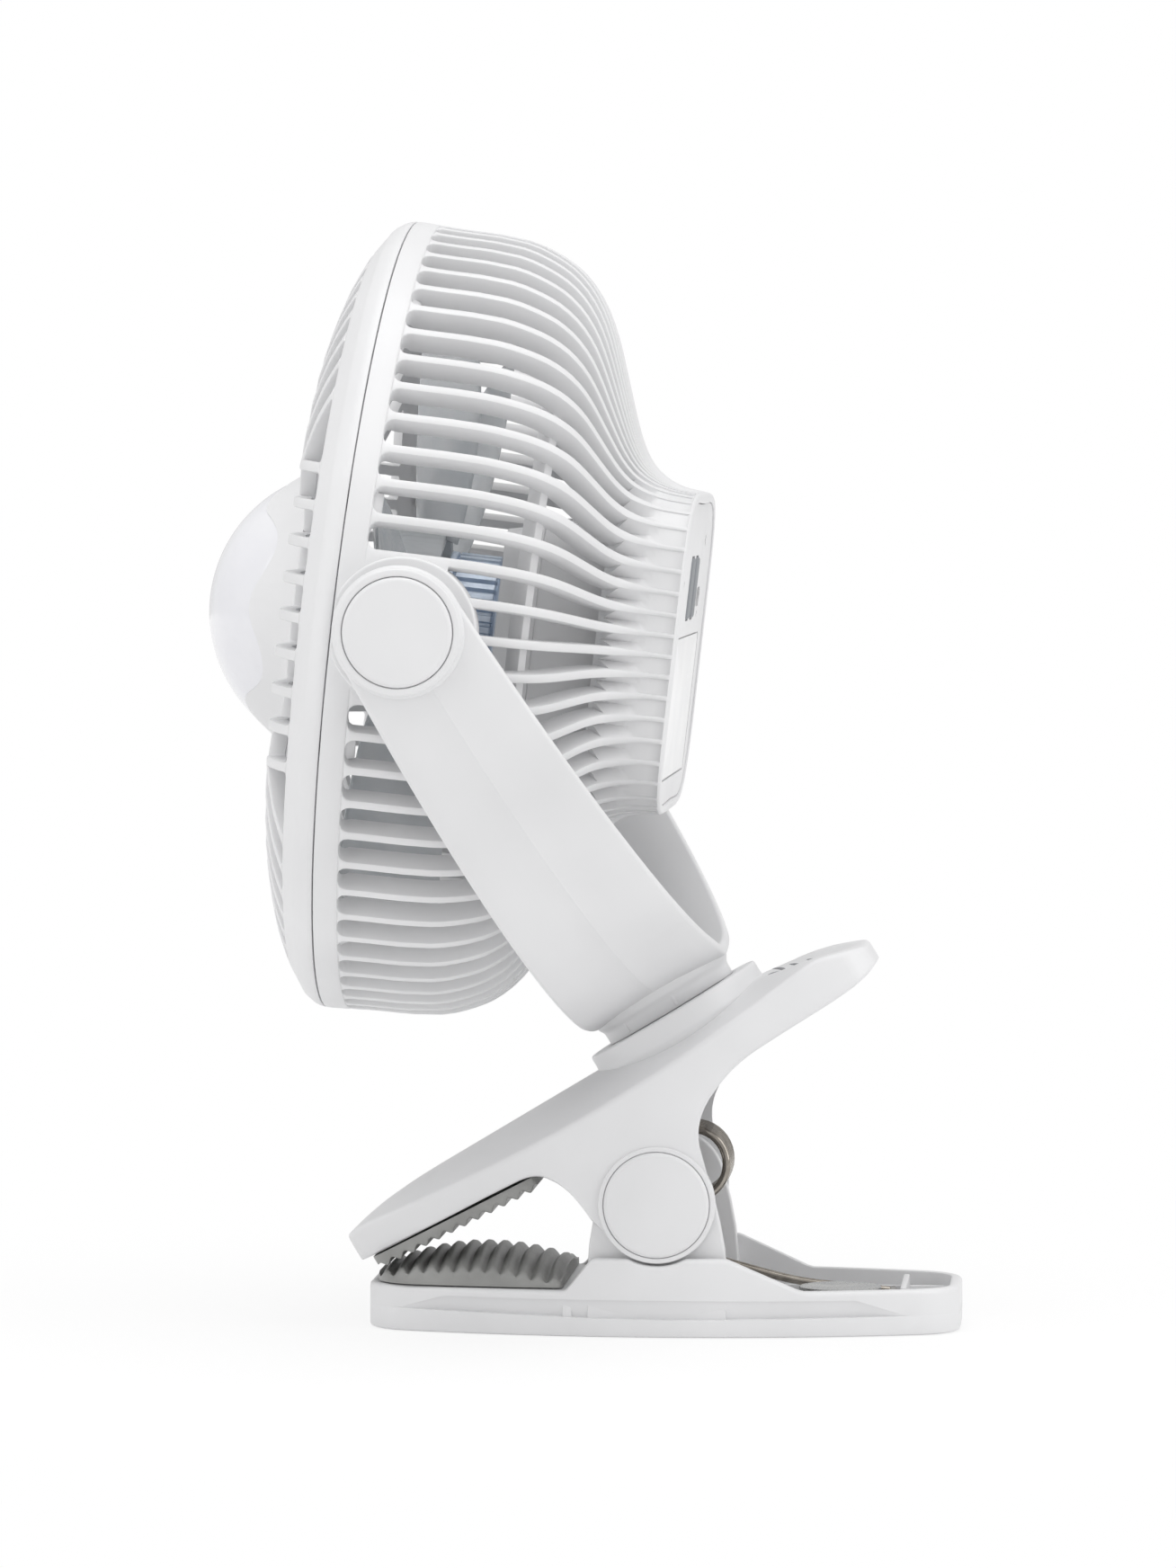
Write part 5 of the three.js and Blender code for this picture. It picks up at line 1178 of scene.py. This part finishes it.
# Coil about X: x = w (t - 1/2), y = y0 + R cos a, z = z0 + R sin a with a = 180 degrees - sweep t. The lower
# leg drops from its front and bends back along the tray, the upper leg leaves straight up the lever.
def springPath():
    s = spring
    centreY, centreZ = s["centre"]
    upper = math.radians(clipSettings["leverTurn"] + s["upperTurn"]) + math.pi / 2
    sweep = math.pi - upper + 2 * math.pi * s["turns"]
    width = s["pitch"] * sweep / (2 * math.pi)
    t = np.linspace(0, 1, round(40 * sweep / (2 * math.pi)))
    turn = math.pi - sweep * t
    coil = np.stack([width * (t - 0.5), centreY + s["mean"] * np.cos(turn), centreZ + s["mean"] * np.sin(turn)], -1)
    leg = rounded(s["leg"], (0, 6, 8, 6, 1.4, 2, 0), 7)
    leg = np.stack([np.full(len(leg), -width / 2), leg[:, 0], leg[:, 1]], -1)
    along = np.array([0, math.sin(upper), -math.cos(upper)])
    upperLeg = coil[-1] + along * s["upperLeg"] * np.linspace(0, 1, 24)[1:, None]
    return np.concatenate([leg[:-1], coil, upperLeg])


# tube of the wire: rings square to the path, with rounded ends; beside is any direction off the path
def wireChunk(path, radius, sides, beside=(1.0, 0, 0)):
    forward = np.gradient(path, axis=0)
    forward /= np.linalg.norm(forward, axis=1, keepdims=True)
    up = np.cross(forward, beside)
    up /= np.linalg.norm(up, axis=1, keepdims=True)
    sideways = np.cross(up, forward)
    lap = np.linspace(0, 2 * np.pi, sides, endpoint=False)[None, :, None]
    run = np.concatenate([[0], np.cumsum(np.linalg.norm(np.diff(path, axis=0), axis=1))])
    size = radius - edgeDrop(np.minimum(run, run[-1] - run), 0.3)
    ring = up[:, None] * np.cos(lap) + sideways[:, None] * np.sin(lap)
    return gridChunk(capped(path[:, None] + ring * size[:, None, None]))


# crossbar at the end of the lower leg
def springBar():
    start = springPath()[0]
    x = start[0] + np.concatenate([[spring["bar"][0]], np.linspace(spring["bar"][0] + 0.1, spring["bar"][1] - 0.1, 12), [spring["bar"][1]]])
    return wireChunk(np.stack([x, start[1] + 0 * x, start[2] + 0 * x], -1), spring["wire"], spring["sides"], (0, 1.0, 0))


springPiece = meshObject("torsionSpring", [wireChunk(springPath(), spring["wire"], spring["sides"]), springBar()], world)
finishPiece(springPiece, springSteel, "base", ["clip_spring"], 60)
print("spring made")


# carried-over nodes
carried = {
    "clip_pin_left": zincSteel, "clip_pin_right": zincSteel, "tilt_screw_left": zincSteel, "tilt_screw_right": zincSteel,
    "tilt_washer_left": zincSteel, "tilt_washer_right": zincSteel, "swivel_washer": zincSteel,
    "swivel_screw": zincSteel, "motor_shaft": zincSteel, "motor_screw_left": zincSteel,
    "motor_screw_right": zincSteel, "battery_upper": cellSleeve, "battery_lower": cellSleeve,
    "circuit_board": boardMask, "charge_socket": zincSteel,
}
for nodeName, material in carried.items():
    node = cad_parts[nodeName]
    node.data.materials.clear()
    node.data.materials.append(material)
    shadeSmooth(node, 30)


# floor, light and camera
studio = {"floorWhite": "#F4F4F4", "floorGlow": 0.8, "shadowEnd": (0.1, 0.32), "worldFill": 0.7, "cameraLift": 198.3}


# Pale floor: diffuse white that keeps the shadow, mixed with plain white for camera, glossy and clear rays.
# The white share grows to one with the distance from the object.
def floorMaterial():
    material = bpy.data.materials.new("paleSweep")
    material.use_nodes = True
    tree = material.node_tree
    tree.nodes.clear()
    path = addNode(tree, "ShaderNodeLightPath")
    seen = addNode(tree, "ShaderNodeMath", links={0: path.outputs["Is Camera Ray"], 1: path.outputs["Is Glossy Ray"]}, operation="MAXIMUM")
    seen = addNode(tree, "ShaderNodeMath", links={0: seen.outputs[0], 1: path.outputs["Is Transmission Ray"]}, operation="MAXIMUM")
    place = addNode(tree, "ShaderNodeTexCoord").outputs["Object"]
    away = addNode(tree, "ShaderNodeVectorMath", links={0: place}, operation="LENGTH").outputs["Value"]
    whiter = addNode(tree, "ShaderNodeMapRange", {"From Min": studio["shadowEnd"][0], "From Max": studio["shadowEnd"][1],
                                                  "To Min": studio["floorGlow"], "To Max": 1.0}, {"Value": away}, interpolation_type="SMOOTHSTEP")
    share = addNode(tree, "ShaderNodeMath", links={0: seen.outputs[0], 1: whiter.outputs["Result"]}, operation="MULTIPLY")
    plain = addNode(tree, "ShaderNodeBsdfDiffuse", {"Color": linearColour(studio["floorWhite"])})
    glow = addNode(tree, "ShaderNodeEmission", {"Color": (1, 1, 1, 1), "Strength": 1.0})
    mix = addNode(tree, "ShaderNodeMixShader", links={0: share.outputs[0], 1: plain.outputs[0], 2: glow.outputs[0]})
    addNode(tree, "ShaderNodeOutputMaterial", links={"Surface": mix.outputs[0]})
    return material


floorMesh = bpy.data.meshes.new("floor")
floorMesh.from_pydata([(-6, -6, 0), (6, -6, 0), (6, 6, 0), (-6, 6, 0)], [], [(0, 1, 2, 3)])
floor = bpy.data.objects.new("floor", floorMesh)
floor.location.z = -0.0002
bpy.context.scene.collection.objects.link(floor)
floorMesh.materials.append(floorMaterial())

# world: plain white to the camera and to reflections, softer grey as fill light
sky = bpy.data.worlds.new("paleRoom")
bpy.context.scene.world = sky
sky.use_nodes = True
skyTree = sky.node_tree
skyTree.nodes.clear()
skyPath = addNode(skyTree, "ShaderNodeLightPath")
skySeen = addNode(skyTree, "ShaderNodeMath", links={0: skyPath.outputs["Is Camera Ray"], 1: skyPath.outputs["Is Transmission Ray"]},
                  operation="MAXIMUM")
skyStrength = addNode(skyTree, "ShaderNodeMapRange", {"To Min": studio["worldFill"], "To Max": 1.0}, {"Value": skySeen.outputs[0]})
skyLight = addNode(skyTree, "ShaderNodeBackground", {"Color": (1, 1, 1, 1)}, {"Strength": skyStrength.outputs["Result"]})
addNode(skyTree, "ShaderNodeOutputWorld", links={"Surface": skyLight.outputs[0]})


# soft rectangular lamp at a place, aimed at a point; places in metres
def softLamp(name, place, aim, size, power):
    light = bpy.data.lights.new(name, "AREA")
    light.shape = "RECTANGLE"
    light.size, light.size_y = size
    light.energy = power
    lampObject = bpy.data.objects.new(name, light)
    lampObject.location = place
    direction = Vector(aim) - Vector(place)
    lampObject.rotation_euler = direction.to_track_quat("-Z", "Y").to_euler()
    bpy.context.scene.collection.objects.link(lampObject)


softLamp("topSoftbox", (0.3, 0.0, 1.5), (0, 0, 0.12), (1.4, 1.4), 10.0)
softLamp("rearSoftbox", (0.5, 1.3, 0.7), (0, 0, 0.15), (0.9, 1.1), 5.0)
softLamp("frontSoftbox", (0.7, -1.3, 0.6), (0, 0, 0.15), (0.9, 1.1), 3.5)

camera = bpy.data.cameras.new("photoCamera")
camera.sensor_fit = "VERTICAL"
camera.sensor_height = 36.0
camera.lens = 165.1
camera.clip_start, camera.clip_end = 0.1, 20
cameraObject = bpy.data.objects.new("photoCamera", camera)
bpy.context.scene.collection.objects.link(cameraObject)
swing = math.radians(4.3)
target = Vector((0.0, -0.0194, 0.1255))
cameraObject.location = (1.670 * math.cos(swing), -0.0194 + 1.670 * math.sin(swing), studio["cameraLift"] * mm)
cameraObject.rotation_euler = (target - cameraObject.location).to_track_quat("-Z", "Y").to_euler()
bpy.context.scene.camera = cameraObject

bpy.context.scene.view_settings.view_transform = "Standard"
print("scene ready")
